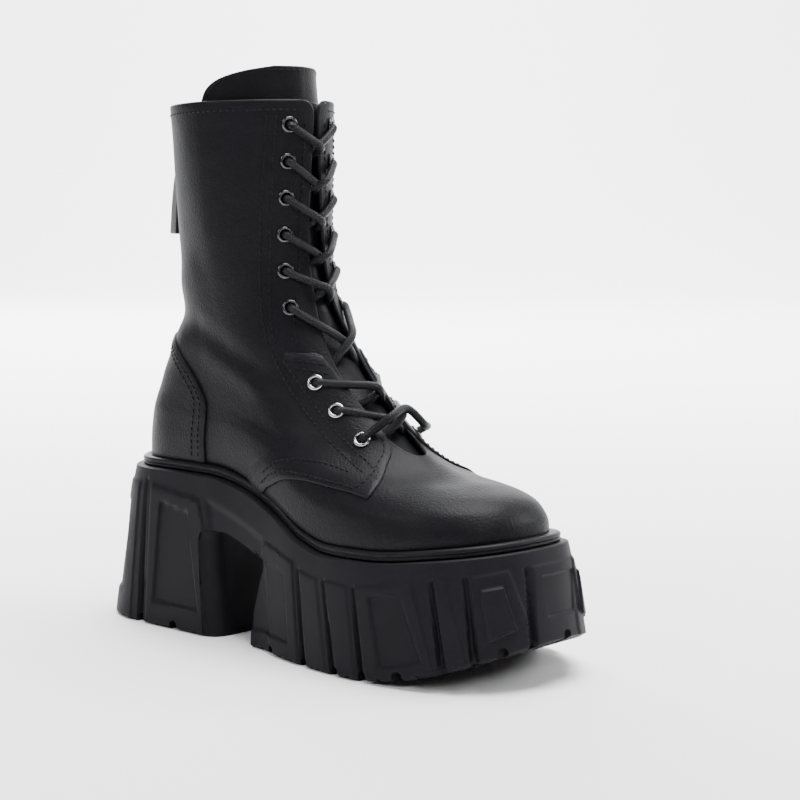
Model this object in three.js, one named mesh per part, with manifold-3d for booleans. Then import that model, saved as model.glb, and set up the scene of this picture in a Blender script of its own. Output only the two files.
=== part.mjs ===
// Platform boot, right foot. Millimetres, +X to the toe, +Y to the inside of the foot, +Z up.
// The boot's own frame has x = 0 at the rearmost point of the heel's tread and z = 0 on the floor.
// The last lines move the whole group so that its origin is at the middle of its footprint.
import * as THREE from "three";
import { mergeVertices } from "three/addons/utils/BufferGeometryUtils.js";
import Module from "manifold-3d";

const wasm = await Module();
wasm.setup();

// ---------------------------------------------------------------- driving dimensions
const gap = 0.3;                 // air between pieces that lie against each other
const seat = 0.8;                // upper's and welt's lower edge over the platform's facets
const wallThickness = 2;         // upper
const counterThickness = 1.3;
const counterGap = 0.7;
const tongueThickness = 3;
const insoleThickness = 3;
const insoleLift = 1;              // over the platform, which curves under it
const weltHeight = 4.3;
const weltInset = 3.6;           // welt's outer edge, in from the platform's rim
const toeSpring = { start: 197, rise: 20, run: 80 };
const archGap = {
  heelFoot: 100.1, heelTop: 92.8, heelRoof: 52.2, foreRoof: 42.6, foreTop: 131.8, foreFoot: 125.2,
};
const grooveDepth = 2.6;
const grooveReach = { top: 0.74, bottom: -0.06 };      // shares of the wall's height
const cutterClearance = 6;                             // how far a cutter stands out of what it cuts
const channelDepth = 4;
const channelWidth = 5;
const eyelet = { hole: 2.3, flange: 4, barrel: 2.75, lift: 0.55, proud: 1.35, bore: 3.2, sides: 8 };
const shaftEyelets = { count: 6, topHeight: 248, pitch: 17.35, halfSpread: 13.8, widening: 0.038 };
const footEyelets = { count: 3, topHeight: 126.5, pitch: 12.5, halfSpread: 19.6, widening: -0.06 };
const lace = { radius: 2, sides: 6, steps: 5, clearance: 3.9, lift: 3.4, start: 0.19, barStart: 0.25 };
const zip = { slit: 13, top: 257, foot: 104, depth: 0.5, steps: 13 };
const zipTape = { width: 12.2, thickness: 1, top: 256, foot: 104.6 };
const zipChain = { width: 7, thickness: 1.9, top: 240, foot: 106 };
const slitProud = 3;               // the slit's cutter past the wall's faces
const slitOver = 8;                // and over the collar
const sliderHeight = 246.5;
const pullTab = { length: 24, width: 6, above: 1.4, thickness: 1, lift: 3.3, shift: -0.4 };
const pullEye = { half: 1.7, top: 0.4, foot: -4.6 };
const pullLoop = { width: 13, thickness: 2.6 };

// ---------------------------------------------------------------- tables
// Platform outline, seen from above: half widths to the outside and inside of the foot.
const treadOutline = {
  rear: 0, front: 277, rearLength: 39.8, frontLength: 80, rearPower: 2, frontPower: 2.32,
  rows: [
    { x: 0, outside: 43, inside: 43 },
    { x: 100, outside: 42.5, inside: 42.5 },
    { x: 125, outside: 42.5, inside: 43.5 },
    { x: 160, outside: 50, inside: 51.5 },
    { x: 197, outside: 54.3, inside: 56 },
    { x: 277, outside: 54.3, inside: 56 },
  ],
};
const rimOutline = {
  rear: 12, front: 269.5, rearLength: 36, frontLength: 74, rearPower: 2.1, frontPower: 2.35,
  rows: [
    { x: 12, outside: 35.5, inside: 35.5 },
    { x: 70, outside: 35.5, inside: 35 },
    { x: 100, outside: 36, inside: 34.5 },
    { x: 130, outside: 39, inside: 36.5 },
    { x: 160, outside: 45.5, inside: 43.5 },
    { x: 195, outside: 49.5, inside: 50.5 },
    { x: 269.5, outside: 49.5, inside: 51 },
  ],
};
// Height of the platform's rim along the foot.
const rimHeight = [
  { x: 0, z: 77 },
  { x: 60, z: 78 },
  { x: 88, z: 77.8 },
  { x: 102, z: 76 },
  { x: 120, z: 71.5 },
  { x: 140, z: 63.8 },
  { x: 158, z: 56 },
  { x: 178, z: 52 },
  { x: 205, z: 52.5 },
  { x: 240, z: 56.5 },
  { x: 270, z: 60.8 },
];
// Upper: one row for each section, from the sole to the collar. A section is a tilted closed ring from a
// point on the back seam to a point on the front line. heel and fore are its half widths, rearShare and
// frontShare the parts of its length that close the ends, and sag how much of the sole's curve it keeps.
const upperColumnNames = [
  "backX", "backZ", "frontX", "frontZ", "heel", "fore",
  "rearShare", "frontShare", "rearPower", "frontPower", "sag",
];
const upperRows = [
  [20.6, 77.3, 261.5, 60, 27.2, 42.6, 0.13, 0.29, 2.1, 2.35, 1],
  [21.6, 86, 260.5, 68.5, 28.8, 44.2, 0.13, 0.29, 2.1, 2.35, 1],
  [23, 96, 256, 77, 29.3, 43.4, 0.13, 0.3, 2.1, 2.3, 0.9],
  [25, 105, 247.5, 83.4, 29.3, 40.2, 0.13, 0.33, 2.1, 2.15, 0.78],
  [27.2, 112, 235.5, 87, 29.1, 36.5, 0.14, 0.37, 2.1, 2.05, 0.62],
  [29.9, 119, 220, 89.5, 29, 33.4, 0.16, 0.42, 2.1, 1.95, 0.45],
  [33, 127, 202, 95.3, 29, 31.6, 0.18, 0.46, 2.1, 1.9, 0.28],
  [36.8, 135.5, 183, 107, 29.2, 30.4, 0.22, 0.48, 2.1, 1.9, 0.14],
  [40.4, 144.5, 163.5, 124.5, 29.9, 30, 0.27, 0.5, 2, 1.9, 0.05],
  [43.8, 155, 146.5, 145, 31.3, 30.6, 0.35, 0.5, 2, 1.85, 0],
  [45.6, 168, 135, 165, 33, 32.2, 0.45, 0.5, 2, 1.8, 0],
  [45.7, 187, 129.8, 187, 35, 34.8, 0.5, 0.5, 2, 1.75, 0],
  [44.8, 209, 128.6, 210.5, 36.8, 36.8, 0.5, 0.5, 2, 1.75, 0],
  [43.2, 233, 128.6, 235, 38.2, 38.2, 0.5, 0.5, 2, 1.75, 0],
  [41.4, 257.2, 129, 259.2, 39.2, 39.2, 0.5, 0.5, 2, 1.75, 0],
].map((row) => Object.fromEntries(row.map((value, i) => [upperColumnNames[i], value])));
const collarRow = upperRows.length - 1;
// Throat: half the opening between the facings, by row of the table above.
const throatRows = [
  { row: 6.2, half: 2.5 },
  { row: 6.28, half: 5 },
  { row: 6.5, half: 7.8 },
  { row: 6.9, half: 9.6 },
  { row: 7.4, half: 10.6 },
  { row: 8, half: 11 },
  { row: 9, half: 10 },
  { row: 10, half: 7 },
  { row: 12, half: 4.6 },
  { row: 14, half: 1.7 },
];
// Tongue: depth under the upper's outer face in the middle and at its sides, angle it reaches round to
// each side, height over the collar.
const tongueRows = [
  { row: 5.9, depth: 3.7, sideDepth: 3.7, reach: 30, over: 0 },
  { row: 7, depth: 3.7, sideDepth: 3.7, reach: 46, over: 0 },
  { row: 8.5, depth: 3.7, sideDepth: 3.7, reach: 56, over: 0 },
  { row: 10, depth: 3.7, sideDepth: 3.7, reach: 64, over: 0 },
  { row: 11.2, depth: 4.3, sideDepth: 3.9, reach: 70, over: 0 },
  { row: 12.4, depth: 5.5, sideDepth: 4.2, reach: 82, over: 0 },
  { row: 13.3, depth: 7, sideDepth: 4.5, reach: 89, over: 0 },
  { row: 14, depth: 8.3, sideDepth: 4.8, reach: 93, over: 0 },
  { row: 14, depth: 8.8, sideDepth: 5, reach: 91, over: 3.5 },
  { row: 14, depth: 9.1, sideDepth: 5.3, reach: 85.5, over: 7.8 },
  { row: 14, depth: 9.4, sideDepth: 6, reach: 75, over: 11.8 },
  { row: 14, depth: 9.5, sideDepth: 7, reach: 57, over: 15 },
  { row: 14, depth: 9.6, sideDepth: 8, reach: 33, over: 17.3 },
];
// Heel counter: its front and top edge, seen from the side.
const counterEdge = [
  { x: 78, z: 80 },
  { x: 79.3, z: 95 },
  { x: 79, z: 110 },
  { x: 77.5, z: 118 },
  { x: 72.5, z: 125.5 },
  { x: 64, z: 133 },
  { x: 54, z: 140.5 },
  { x: 45, z: 145 },
  { x: 35, z: 147 },
];
// Zip, on the inside of the boot: its middle, by height.
const zipRows = [
  { z: 262, x: 86 },
  { z: 240, x: 86 },
  { z: 212, x: 86.6 },
  { z: 186, x: 87.8 },
  { z: 156, x: 91 },
  { z: 135, x: 97.5 },
  { z: 113, x: 109.5 },
  { z: 103, x: 117 },
];
// Zip slider's blocks: size across the zip, along it and out of it, then middle along it and out of it.
const sliderBlocks = [
  { across: 8.6, along: 10.5, out: 2.6, middle: 0, lift: 1.4 },
  { across: 2.2, along: 1.6, out: 2.6, middle: 2.9, lift: 3.6 },
  { across: 2.2, along: 1.6, out: 2.6, middle: -3.4, lift: 3.6 },
  { across: 2.2, along: 7.9, out: 1, middle: -0.25, lift: 5.2 },
];
// Strap hanging behind the collar: its middle line, and how far it is twisted.
const loopRows = [
  { x: 39.8, y: 0, z: 254, twist: 0 },
  { x: 38.1, y: -0.1, z: 249, twist: 6 },
  { x: 34.8, y: -0.4, z: 241.5, twist: 27 },
  { x: 31.6, y: -1, z: 233, twist: 50 },
  { x: 29.8, y: -1.8, z: 222, twist: 60 },
  { x: 28.9, y: -2.6, z: 208, twist: 62.5 },
  { x: 28.2, y: -3, z: 195.5, twist: 63 },
];
// Wall grooves: place round the platform in degrees (0 heel, 90 outside, 180 toe, 270 inside) at the top
// and bottom end of each, and its width.
const grooveRows = [
  { top: 40.5, bottom: 47, width: 3.6 },
  { top: 99, bottom: 103.5, width: 3.2 },
  { top: 107.5, bottom: 113, width: 3.2 },
  { top: 117, bottom: 121, width: 3.2 },
  { top: 140, bottom: 143, width: 3.2 },
  { top: 150.5, bottom: 152, width: 3.2 },
  { top: 172, bottom: 171, width: 3.2 },
  { top: 204, bottom: 206, width: 3.2 },
  { top: 216, bottom: 214, width: 3.2 },
  { top: 243, bottom: 239, width: 3.2 },
  { top: 252.5, bottom: 247, width: 3.2 },
  { top: 261, bottom: 256.5, width: 3.2 },
  { top: 319.5, bottom: 313, width: 3.6 },
];
// Platform's sections from the tread to the rim: share of the wall's height, how far in from the edge,
// and how far up from there.
const soleLevels = [
  { share: 0, inwards: 1.2, up: 0 },
  { share: 0, inwards: -0.6, up: 2.4 },
  { share: 1, inwards: -0.7, up: -12 },
  { share: 1, inwards: 0, up: -1.2 },
  { share: 1, inwards: 1.2, up: 0 },
];
// Channels across the tread, between its lugs.
const channelRows = [44, 70, 143, 171, 193, 210, 229, 249];

// ---------------------------------------------------------------- small helpers
const toRadians = Math.PI / 180;
const mix = (a, b, t) => a + (b - a) * t;
const clamp = (value, low, high) => Math.min(Math.max(value, low), high);

// Smooth curve through a table's rows: no overshoot, so a flat stretch stays flat.
function tableCurve(rows, key, column) {
  const xs = rows.map((row, index) => (key === "index" ? index : row[key]));
  const ys = rows.map((row) => row[column]);
  const slopes = xs.slice(1).map((x, i) => (ys[i + 1] - ys[i]) / (x - xs[i]));
  const tangents = ys.map((_, i) => {
    if (i === 0) return slopes[0];
    if (i === ys.length - 1) return slopes[i - 1];
    const product = slopes[i - 1] * slopes[i];
    return product <= 0 ? 0 : (2 * product) / (slopes[i - 1] + slopes[i]);
  });
  return (x) => {
    const place = clamp(x, xs[0], xs[xs.length - 1]);
    let i = 0;
    while (i < xs.length - 2 && place > xs[i + 1]) i += 1;
    const step = xs[i + 1] - xs[i];
    const t = (place - xs[i]) / step;
    const cubic = (2 * t ** 3 - 3 * t ** 2 + 1) * ys[i] + (3 * t ** 2 - 2 * t ** 3) * ys[i + 1];
    return cubic + ((t ** 3 - 2 * t ** 2 + t) * tangents[i] + (t ** 3 - t ** 2) * tangents[i + 1]) * step;
  };
}

// How much of its width a section keeps near its two round ends: 1 in between, 0 at each end.
function endShape(fromRear, fromFront, rearPower, frontPower) {
  const rear = clamp(1 - fromRear, 0, 1);
  const front = clamp(1 - fromFront, 0, 1);
  return (1 - rear ** rearPower) ** (1 / rearPower) * (1 - front ** frontPower) ** (1 / frontPower);
}

function geometryFrom(points, triangles) {
  const geometry = new THREE.BufferGeometry();
  geometry.setAttribute("position", new THREE.Float32BufferAttribute(points.flatMap((p) => p.toArray()), 3));
  geometry.setIndex(triangles);
  return geometry;
}

// Closed solid between two grids of points with the same rows and columns: the outside one is seen with
// its columns to the right and its rows up.
function gridSolid(outer, inner) {
  const rows = outer.length;
  const columns = outer[0].length;
  const points = [...outer.flat(), ...inner.flat()];
  const half = rows * columns;
  const at = (layer, r, c) => layer * half + r * columns + c;
  const triangles = [];
  const quad = (a, b, c, d) => triangles.push(a, b, c, a, c, d);
  for (let r = 0; r < rows - 1; r += 1) {
    for (let c = 0; c < columns - 1; c += 1) {
      quad(at(0, r, c), at(0, r, c + 1), at(0, r + 1, c + 1), at(0, r + 1, c));
      quad(at(1, r, c), at(1, r + 1, c), at(1, r + 1, c + 1), at(1, r, c + 1));
    }
    quad(at(1, r, 0), at(0, r, 0), at(0, r + 1, 0), at(1, r + 1, 0));
    quad(at(0, r, columns - 1), at(1, r, columns - 1), at(1, r + 1, columns - 1), at(0, r + 1, columns - 1));
  }
  for (let c = 0; c < columns - 1; c += 1) {
    quad(at(1, 0, c), at(1, 0, c + 1), at(0, 0, c + 1), at(0, 0, c));
    quad(at(0, rows - 1, c), at(0, rows - 1, c + 1), at(1, rows - 1, c + 1), at(1, rows - 1, c));
  }
  return geometryFrom(points, triangles);
}

// Closed solid through a stack of rings. Each ring runs the same way; the ends are closed by strips across,
// or, with wrapped set, the last ring joins the first and there are no ends.
function ringSolid(rings, wrapped = false) {
  const count = rings[0].length;
  const points = rings.flat();
  const triangles = [];
  const layers = wrapped ? rings.length : rings.length - 1;
  for (let k = 0; k < layers; k += 1) {
    const low = k * count;
    const high = ((k + 1) % rings.length) * count;
    for (let i = 0; i < count; i += 1) {
      const next = (i + 1) % count;
      triangles.push(low + i, low + next, high + next, low + i, high + next, high + i);
    }
  }
  if (!wrapped) {
    const last = (rings.length - 1) * count;
    for (let i = 0; i < count / 2; i += 1) {
      const [a, b, c, d] = [i, i + 1, (2 * count - i - 1) % count, (count - i) % count];
      const lower = d === a ? [[a, c, b]] : b === c ? [[a, d, b]] : [[a, c, b], [a, d, c]];
      for (const [p, q, r] of lower) {
        triangles.push(p, q, r);
        triangles.push(last + p, last + r, last + q);
      }
    }
  }
  return geometryFrom(points, triangles);
}

function solid(geometry) {
  const bare = new THREE.BufferGeometry();
  bare.setAttribute("position", geometry.getAttribute("position"));
  if (geometry.index) bare.setIndex(geometry.index);
  const merged = mergeVertices(bare, 1e-4);
  const mesh = new wasm.Mesh({
    numProp: 3,
    vertProperties: new Float32Array(merged.getAttribute("position").array),
    triVerts: new Uint32Array(merged.index.array),
  });
  return new wasm.Manifold(mesh);
}

function geometryOf(manifold) {
  const mesh = manifold.getMesh();
  const geometry = new THREE.BufferGeometry();
  geometry.setAttribute("position", new THREE.BufferAttribute(new Float32Array(mesh.vertProperties), 3));
  geometry.setIndex(new THREE.BufferAttribute(new Uint32Array(mesh.triVerts), 1));
  return geometry;
}

// ---------------------------------------------------------------- platform outline and wall
const rimZ = tableCurve(rimHeight, "x", "z");
const treadZ = (x) => toeSpring.rise * (Math.max(x - toeSpring.start, 0) / toeSpring.run) ** 2;

function outlineFunction(outline) {
  const outside = tableCurve(outline.rows, "x", "outside");
  const inside = tableCurve(outline.rows, "x", "inside");
  return (degrees) => {
    const x = outline.rear + ((outline.front - outline.rear) * (1 - Math.cos(degrees * toRadians))) / 2;
    const fromRear = (x - outline.rear) / outline.rearLength;
    const fromFront = (outline.front - x) / outline.frontLength;
    const ends = endShape(fromRear, fromFront, outline.rearPower, outline.frontPower);
    const onOutside = degrees <= 180;
    return new THREE.Vector3(x, onOutside ? -outside(x) * ends : inside(x) * ends, 0);
  };
}
const tread = outlineFunction(treadOutline);
const rim = outlineFunction(rimOutline);

// Point of the side wall, from its foot (share 0) to the rim (share 1).
function wallPoint(degrees, share) {
  const low = tread(degrees);
  const high = rim(degrees);
  const x = mix(low.x, high.x, share);
  const y = mix(low.y, high.y, share);
  return new THREE.Vector3(x, y, mix(treadZ(low.x), rimZ(high.x), share));
}

// Outline moved inwards by a distance, in plan.
function inset(outline, degrees, distance) {
  const step = 0.5;
  const here = outline(degrees);
  const along = outline((degrees + step) % 360).sub(outline((degrees - step + 360) % 360));
  const inward = new THREE.Vector3(along.y, -along.x, 0).normalize();
  return here.addScaledVector(inward, -distance);
}

const stations = (count) => Array.from({ length: count }, (_, i) => (i * 360) / count);

// ---------------------------------------------------------------- upper's own function
const upperColumns = Object.keys(upperRows[0]);
const upperCurves = Object.fromEntries(
  upperColumns.map((column) => [column, tableCurve(upperRows, "index", column)]),
);

// Point of the upper's outer face: row along the table, degrees round from the back seam over the outside.
function upperPoint(row, degrees) {
  const s = Object.fromEntries(upperColumns.map((column) => [column, upperCurves[column](row)]));
  const share = (1 - Math.cos(degrees * toRadians)) / 2;
  const x = mix(s.backX, s.frontX, share);
  const first = upperRows[0];
  const chord = mix(first.backZ, first.frontZ, (x - first.backX) / (first.frontX - first.backX));
  const z = mix(s.backZ, s.frontZ, share) + (rimZ(x) + seat - chord) * s.sag;
  const spread = THREE.MathUtils.smoothstep(share, 0.22, 0.72);
  const ends = endShape(share / s.rearShare, (1 - share) / s.frontShare, s.rearPower, s.frontPower);
  const side = degrees % 360 <= 180 ? -1 : 1;
  return new THREE.Vector3(x, side * mix(s.heel, s.fore, spread) * ends, z);
}

function upperNormal(row, degrees) {
  const step = 0.6;
  const rise = 0.08;
  const around = upperPoint(row, degrees + step).sub(upperPoint(row, degrees - step + 360));
  const [over, under] = [Math.min(row + rise, collarRow), Math.max(row - rise, 0)];
  const up = upperPoint(over, degrees).sub(upperPoint(under, degrees));
  return around.cross(up).normalize();
}

// Point at a depth under the outer face; a negative depth stands proud of it.
function upperOffset(row, degrees, depth) {
  const turn = (degrees + 360) % 360;
  const normal = upperNormal(row, turn);
  if (row <= 0 || row >= collarRow) normal.setZ(0).normalize();
  const point = upperPoint(row, turn).addScaledVector(normal, -depth);
  if (row <= 0) point.z = rimZ(point.x) + seat;
  return point;
}

// Row and angle of the point of the outer face at a height and a distance from the middle, near the front.
function frontPlace(height, sideways) {
  let row = collarRow / 2;
  let degrees = 170;
  for (let pass = 0; pass < 12; pass += 1) {
    let [low, high] = [5, collarRow];
    for (let i = 0; i < 18; i += 1) {
      row = (low + high) / 2;
      if (upperPoint(row, degrees).z < height) low = row;
      else high = row;
    }
    [low, high] = [95, 180];
    for (let i = 0; i < 18; i += 1) {
      degrees = (low + high) / 2;
      if (Math.abs(upperPoint(row, degrees).y) > sideways) low = degrees;
      else high = degrees;
    }
  }
  return { row, degrees };
}

// Row and angle of the point of the inside face at a height and a distance along the foot.
function insidePlace(height, along) {
  let row = collarRow / 2;
  let degrees = 270;
  for (let pass = 0; pass < 12; pass += 1) {
    let [low, high] = [0, collarRow];
    for (let i = 0; i < 18; i += 1) {
      row = (low + high) / 2;
      if (upperPoint(row, degrees).z < height) low = row;
      else high = row;
    }
    [low, high] = [181, 359];
    for (let i = 0; i < 18; i += 1) {
      degrees = (low + high) / 2;
      if (upperPoint(row, degrees).x > along) low = degrees;
      else high = degrees;
    }
  }
  return { row, degrees };
}

// ---------------------------------------------------------------- materials
const leather = { color: 0x26252a, roughness: 0.42, metalness: 0 };
const rubber = { color: 0x242328, roughness: 0.6, metalness: 0 };
const lining = { color: 0x2c2b2e, roughness: 0.85, metalness: 0 };
const nickel = { color: 0x6c6c72, roughness: 0.25, metalness: 1 };
const cord = { color: 0x1d1d20, roughness: 0.4, metalness: 0 };
const tapeCloth = { color: 0x1c1c1f, roughness: 0.9, metalness: 0 };

const boot = new THREE.Group();
boot.name = "platform_boot";

function addPiece(name, geometry, finish) {
  const mesh = new THREE.Mesh(geometry, new THREE.MeshStandardMaterial(finish));
  mesh.name = name;
  boot.add(mesh);
  return mesh;
}

// ---------------------------------------------------------------- sole
function prismAcross(outline) {
  const shape = new THREE.Shape(outline.map(([x, z]) => new THREE.Vector2(x, z)));
  const halfWidth = 80;
  const geometry = new THREE.ExtrudeGeometry(shape, { depth: 2 * halfWidth, bevelEnabled: false });
  geometry.rotateX(Math.PI / 2);
  geometry.translate(0, halfWidth, 0);
  return solid(geometry);
}

function archCutter() {
  const g = archGap;
  return prismAcross([
    [g.heelFoot, -2], [g.foreFoot - 0.3, -2], [g.foreFoot, 17], [g.foreTop, g.foreRoof - 3],
    [g.foreTop - 0.6, g.foreRoof], [112, 49.6], [103, g.heelRoof], [97, g.heelRoof], [g.heelTop, 47],
  ]);
}

// Six-sided cutter lying in the side wall between two of its points.
function wallCutter({ top, bottom, width }, depth) {
  const middle = new THREE.Vector3((treadOutline.rear + treadOutline.front) / 2, 0, 0);
  const rings = [[bottom, grooveReach.bottom], [top, grooveReach.top]].map(([degrees, share]) => {
    const point = wallPoint(degrees, share);
    const along = wallPoint(degrees + 0.5, share).sub(wallPoint(degrees - 0.5, share)).setZ(0).normalize();
    const out = new THREE.Vector3(along.y, -along.x, 0);
    if (out.dot(point.clone().sub(middle)) < 0) out.negate();
    return [[-1, cutterClearance], [1, cutterClearance], [1, -depth], [-1, -depth]].map(([side, reach]) => (
      point.clone().addScaledVector(along, (side * width) / 2).addScaledVector(out, reach)));
  });
  return solid(outward(ringSolid(rings)));
}

function volumeOf(geometry) {
  const position = geometry.getAttribute("position");
  const at = (i) => new THREE.Vector3().fromBufferAttribute(position, geometry.index.getX(i));
  let volume = 0;
  for (let i = 0; i < geometry.index.count; i += 3) volume += at(i).dot(at(i + 1).cross(at(i + 2))) / 6;
  return volume;
}

function turnedInsideOut(geometry) {
  const index = Array.from(geometry.index.array);
  for (let i = 0; i < index.length; i += 3) [index[i], index[i + 1]] = [index[i + 1], index[i]];
  geometry.setIndex(index);
  return geometry;
}

function outward(geometry) {
  return volumeOf(geometry) < 0 ? turnedInsideOut(geometry) : geometry;
}

function makeSole() {
  const places = stations(72);
  const rings = soleLevels.map(({ share, inwards, up }) => places.map((degrees) => {
    const outline = share === 0 ? tread : rim;
    const shift = inset(outline, degrees, inwards).sub(outline(degrees));
    return wallPoint(degrees, share).add(shift).add(new THREE.Vector3(0, 0, up));
  }));
  let body = solid(outward(ringSolid(rings)));
  body = body.subtract(archCutter());
  for (const groove of grooveRows) body = body.subtract(wallCutter(groove, grooveDepth));
  for (const x of channelRows) {
    const [left, right] = [x - channelWidth / 2, x + channelWidth / 2];
    body = body.subtract(prismAcross([
      [left, -2], [right, -2], [right, treadZ(x) + channelDepth], [left, treadZ(x) + channelDepth],
    ]));
  }
  return geometryOf(body);
}

// ---------------------------------------------------------------- welt and insole
function makeWelt() {
  const places = stations(64);
  const outer = (height) => places.map((degrees) => {
    const point = inset(rim, degrees, weltInset);
    return point.setZ(rimZ(point.x) + height);
  });
  const inner = (height) => places.map((degrees) => {
    const point = upperOffset(0.55, degrees, -gap - 0.1);
    return point.setZ(rimZ(point.x) + height);
  });
  const top = seat + weltHeight;
  return outward(ringSolid([outer(seat), outer(top), inner(top), inner(seat)], true));
}

function makeInsole() {
  const places = stations(48);
  const level = (height) => places.map((degrees) => {
    const point = upperOffset(0, degrees, wallThickness + 0.8);
    return point.setZ(rimZ(point.x) + height);
  });
  return outward(ringSolid([level(insoleLift), level(insoleLift + insoleThickness)]));
}

// ---------------------------------------------------------------- upper
function throatCutter() {
  const [outside, inside, over] = [14, 13, 14];
  const rings = [];
  const count = 14;
  const closer = 1.5;            // rings stand closer together at the foot
  const half = tableCurve(throatRows, "row", "half");
  const first = throatRows[0].row;
  for (let i = 0; i <= count; i += 1) {
    const row = mix(first, collarRow, (i / count) ** closer);
    const centre = upperPoint(row, 180);
    const normal = upperNormal(row, 180).setY(0).normalize();
    const width = half(row);
    rings.push([[-1, outside], [1, outside], [1, -inside], [-1, -inside]].map(([side, reach]) => (
      centre.clone().addScaledVector(normal, reach).setY(side * width))));
  }
  rings.push(rings[rings.length - 1].map((point) => point.clone().setZ(point.z + over)));
  return solid(outward(ringSolid(rings)));
}

const zipMiddle = tableCurve([...zipRows].reverse(), "z", "x");

// Patch along the zip between two depths under the upper's outer face.
function zipStrip({ width, foot, top }, outerDepth, innerDepth, over = 0) {
  const grids = [[], []];
  for (let i = 0; i <= zip.steps; i += 1) {
    const z = mix(foot, top, i / zip.steps);
    const slope = (zipMiddle(z + 1) - zipMiddle(z - 1)) / 2;
    const lean = Math.sqrt(1 + slope * slope);
    for (const [grid, depth] of [[grids[0], outerDepth], [grids[1], innerDepth]]) {
      grid.push([1, -1].map((side) => {
        const x = zipMiddle(z) + (side * width) / 2 / lean;
        const height = z - (side * slope * width) / 2 / lean;
        const place = insidePlace(Math.min(height, zipRows[0].z), x);
        return upperOffset(Math.min(place.row, collarRow - 0.02), place.degrees, depth);
      }));
    }
  }
  if (over > 0) {
    for (const grid of grids) grid.push(grid[grid.length - 1].map((p) => p.clone().setZ(p.z + over)));
  }
  return outward(gridSolid(grids[0], grids[1]));
}

function eyeletPlaces() {
  return [shaftEyelets, footEyelets].flatMap(({ count, topHeight, pitch, halfSpread, widening }) => (
    Array.from({ length: count }, (_, i) => frontPlace(topHeight - i * pitch, halfSpread + widening * i * pitch))));
}
const eyeletRows = eyeletPlaces();
const sides = [
  { name: "lateral", angle: (degrees) => degrees },
  { name: "medial", angle: (degrees) => 360 - degrees },
];

function turnedTo(geometry, row, degrees) {
  const normal = upperNormal(row, degrees);
  const turn = new THREE.Quaternion().setFromUnitVectors(new THREE.Vector3(0, 1, 0), normal);
  const placed = geometry.clone().applyQuaternion(turn);
  const at = upperPoint(row, degrees);
  return placed.translate(at.x, at.y, at.z);
}

const upperGrid = {
  rows: Array.from({ length: 19 }, (_, i) => (collarRow * i) / 18),
  places: stations(36),
};

function makeUpper() {
  const { rows, places } = upperGrid;
  const outer = rows.map((row) => places.map((degrees) => upperOffset(row, degrees, 0)));
  const inner = rows.map((row) => places.map((degrees) => upperOffset(row, degrees, wallThickness)));
  let shell = solid(outward(ringSolid([...outer, ...inner.reverse()], true)));
  shell = shell.subtract(throatCutter());
  const slit = { width: zip.slit, foot: zip.foot, top: zip.top };
  shell = shell.subtract(solid(zipStrip(slit, -slitProud, wallThickness + slitProud, slitOver)));
  const bore = new THREE.CylinderGeometry(eyelet.bore, eyelet.bore, 2 * cutterClearance, eyelet.sides);
  for (const { row, degrees } of eyeletRows) {
    for (const side of sides) shell = shell.subtract(solid(turnedTo(bore, row, side.angle(degrees))));
  }
  return geometryOf(shell);
}

// ---------------------------------------------------------------- tongue, counter
function makeTongue() {
  const columns = 16;
  const bow = 2.2;
  const layer = (extra) => tongueRows.map(({ row, depth, sideDepth, reach, over }) => (
    Array.from({ length: columns + 1 }, (_, i) => {
      const across = (2 * i) / columns - 1;
      const under = mix(depth, sideDepth, Math.abs(across) ** bow) + extra;
      const point = upperOffset(Math.min(row, collarRow - 0.01), 180 + across * reach, under);
      const lean = over * 0.08;
      return point.add(new THREE.Vector3(-lean, 0, over));
    })));
  return outward(gridSolid(layer(0), layer(tongueThickness)));
}

// Band of the upper's own form, grown outwards, cut to the counter's side view.
function makeCounter() {
  const rows = upperGrid.rows.filter((row) => row > 0.6 && row < 9);
  const { places } = upperGrid;
  const ring = (depth) => rows.map((row) => places.map((degrees) => upperOffset(row, degrees, depth)));
  const [outer, inner] = [ring(-counterGap - counterThickness), ring(-counterGap)];
  const band = solid(outward(ringSolid([...outer, ...inner.reverse()], true)));
  const top = counterEdge[counterEdge.length - 1].z;
  const outline = counterEdge.map(({ x, z }) => [x, z]);
  return geometryOf(band.intersect(prismAcross([...outline, [0, top], [0, counterEdge[0].z]])));
}

// ---------------------------------------------------------------- eyelets and laces
function makeEyelet() {
  const { hole, flange, barrel, lift, proud, sides: around } = eyelet;
  const profile = [
    [hole, -wallThickness - 0.6], [barrel, -wallThickness - 0.6], [barrel, lift], [flange, lift],
    [flange - 0.5, proud], [hole + 0.4, proud], [hole, -wallThickness - 0.6],
  ];
  const ring = new THREE.LatheGeometry(profile.map(([r, y]) => new THREE.Vector2(r, y)), around);
  const bare = new THREE.BufferGeometry();
  bare.setAttribute("position", ring.getAttribute("position"));
  bare.setIndex(ring.index);
  return outward(mergeVertices(bare, 1e-4));
}

function cordSolid(points) {
  const path = new THREE.CatmullRomCurve3(points);
  const frames = path.computeFrenetFrames(lace.steps, false);
  const rings = [];
  for (let k = 0; k <= lace.steps; k += 1) {
    const centre = path.getPointAt(k / lace.steps);
    rings.push(Array.from({ length: lace.sides }, (_, i) => {
      const turn = (i * 2 * Math.PI) / lace.sides;
      return centre.clone()
        .addScaledVector(frames.normals[k], Math.cos(turn) * lace.radius)
        .addScaledVector(frames.binormals[k], Math.sin(turn) * lace.radius);
    }));
  }
  return solid(outward(ringSolid(rings)));
}

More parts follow.
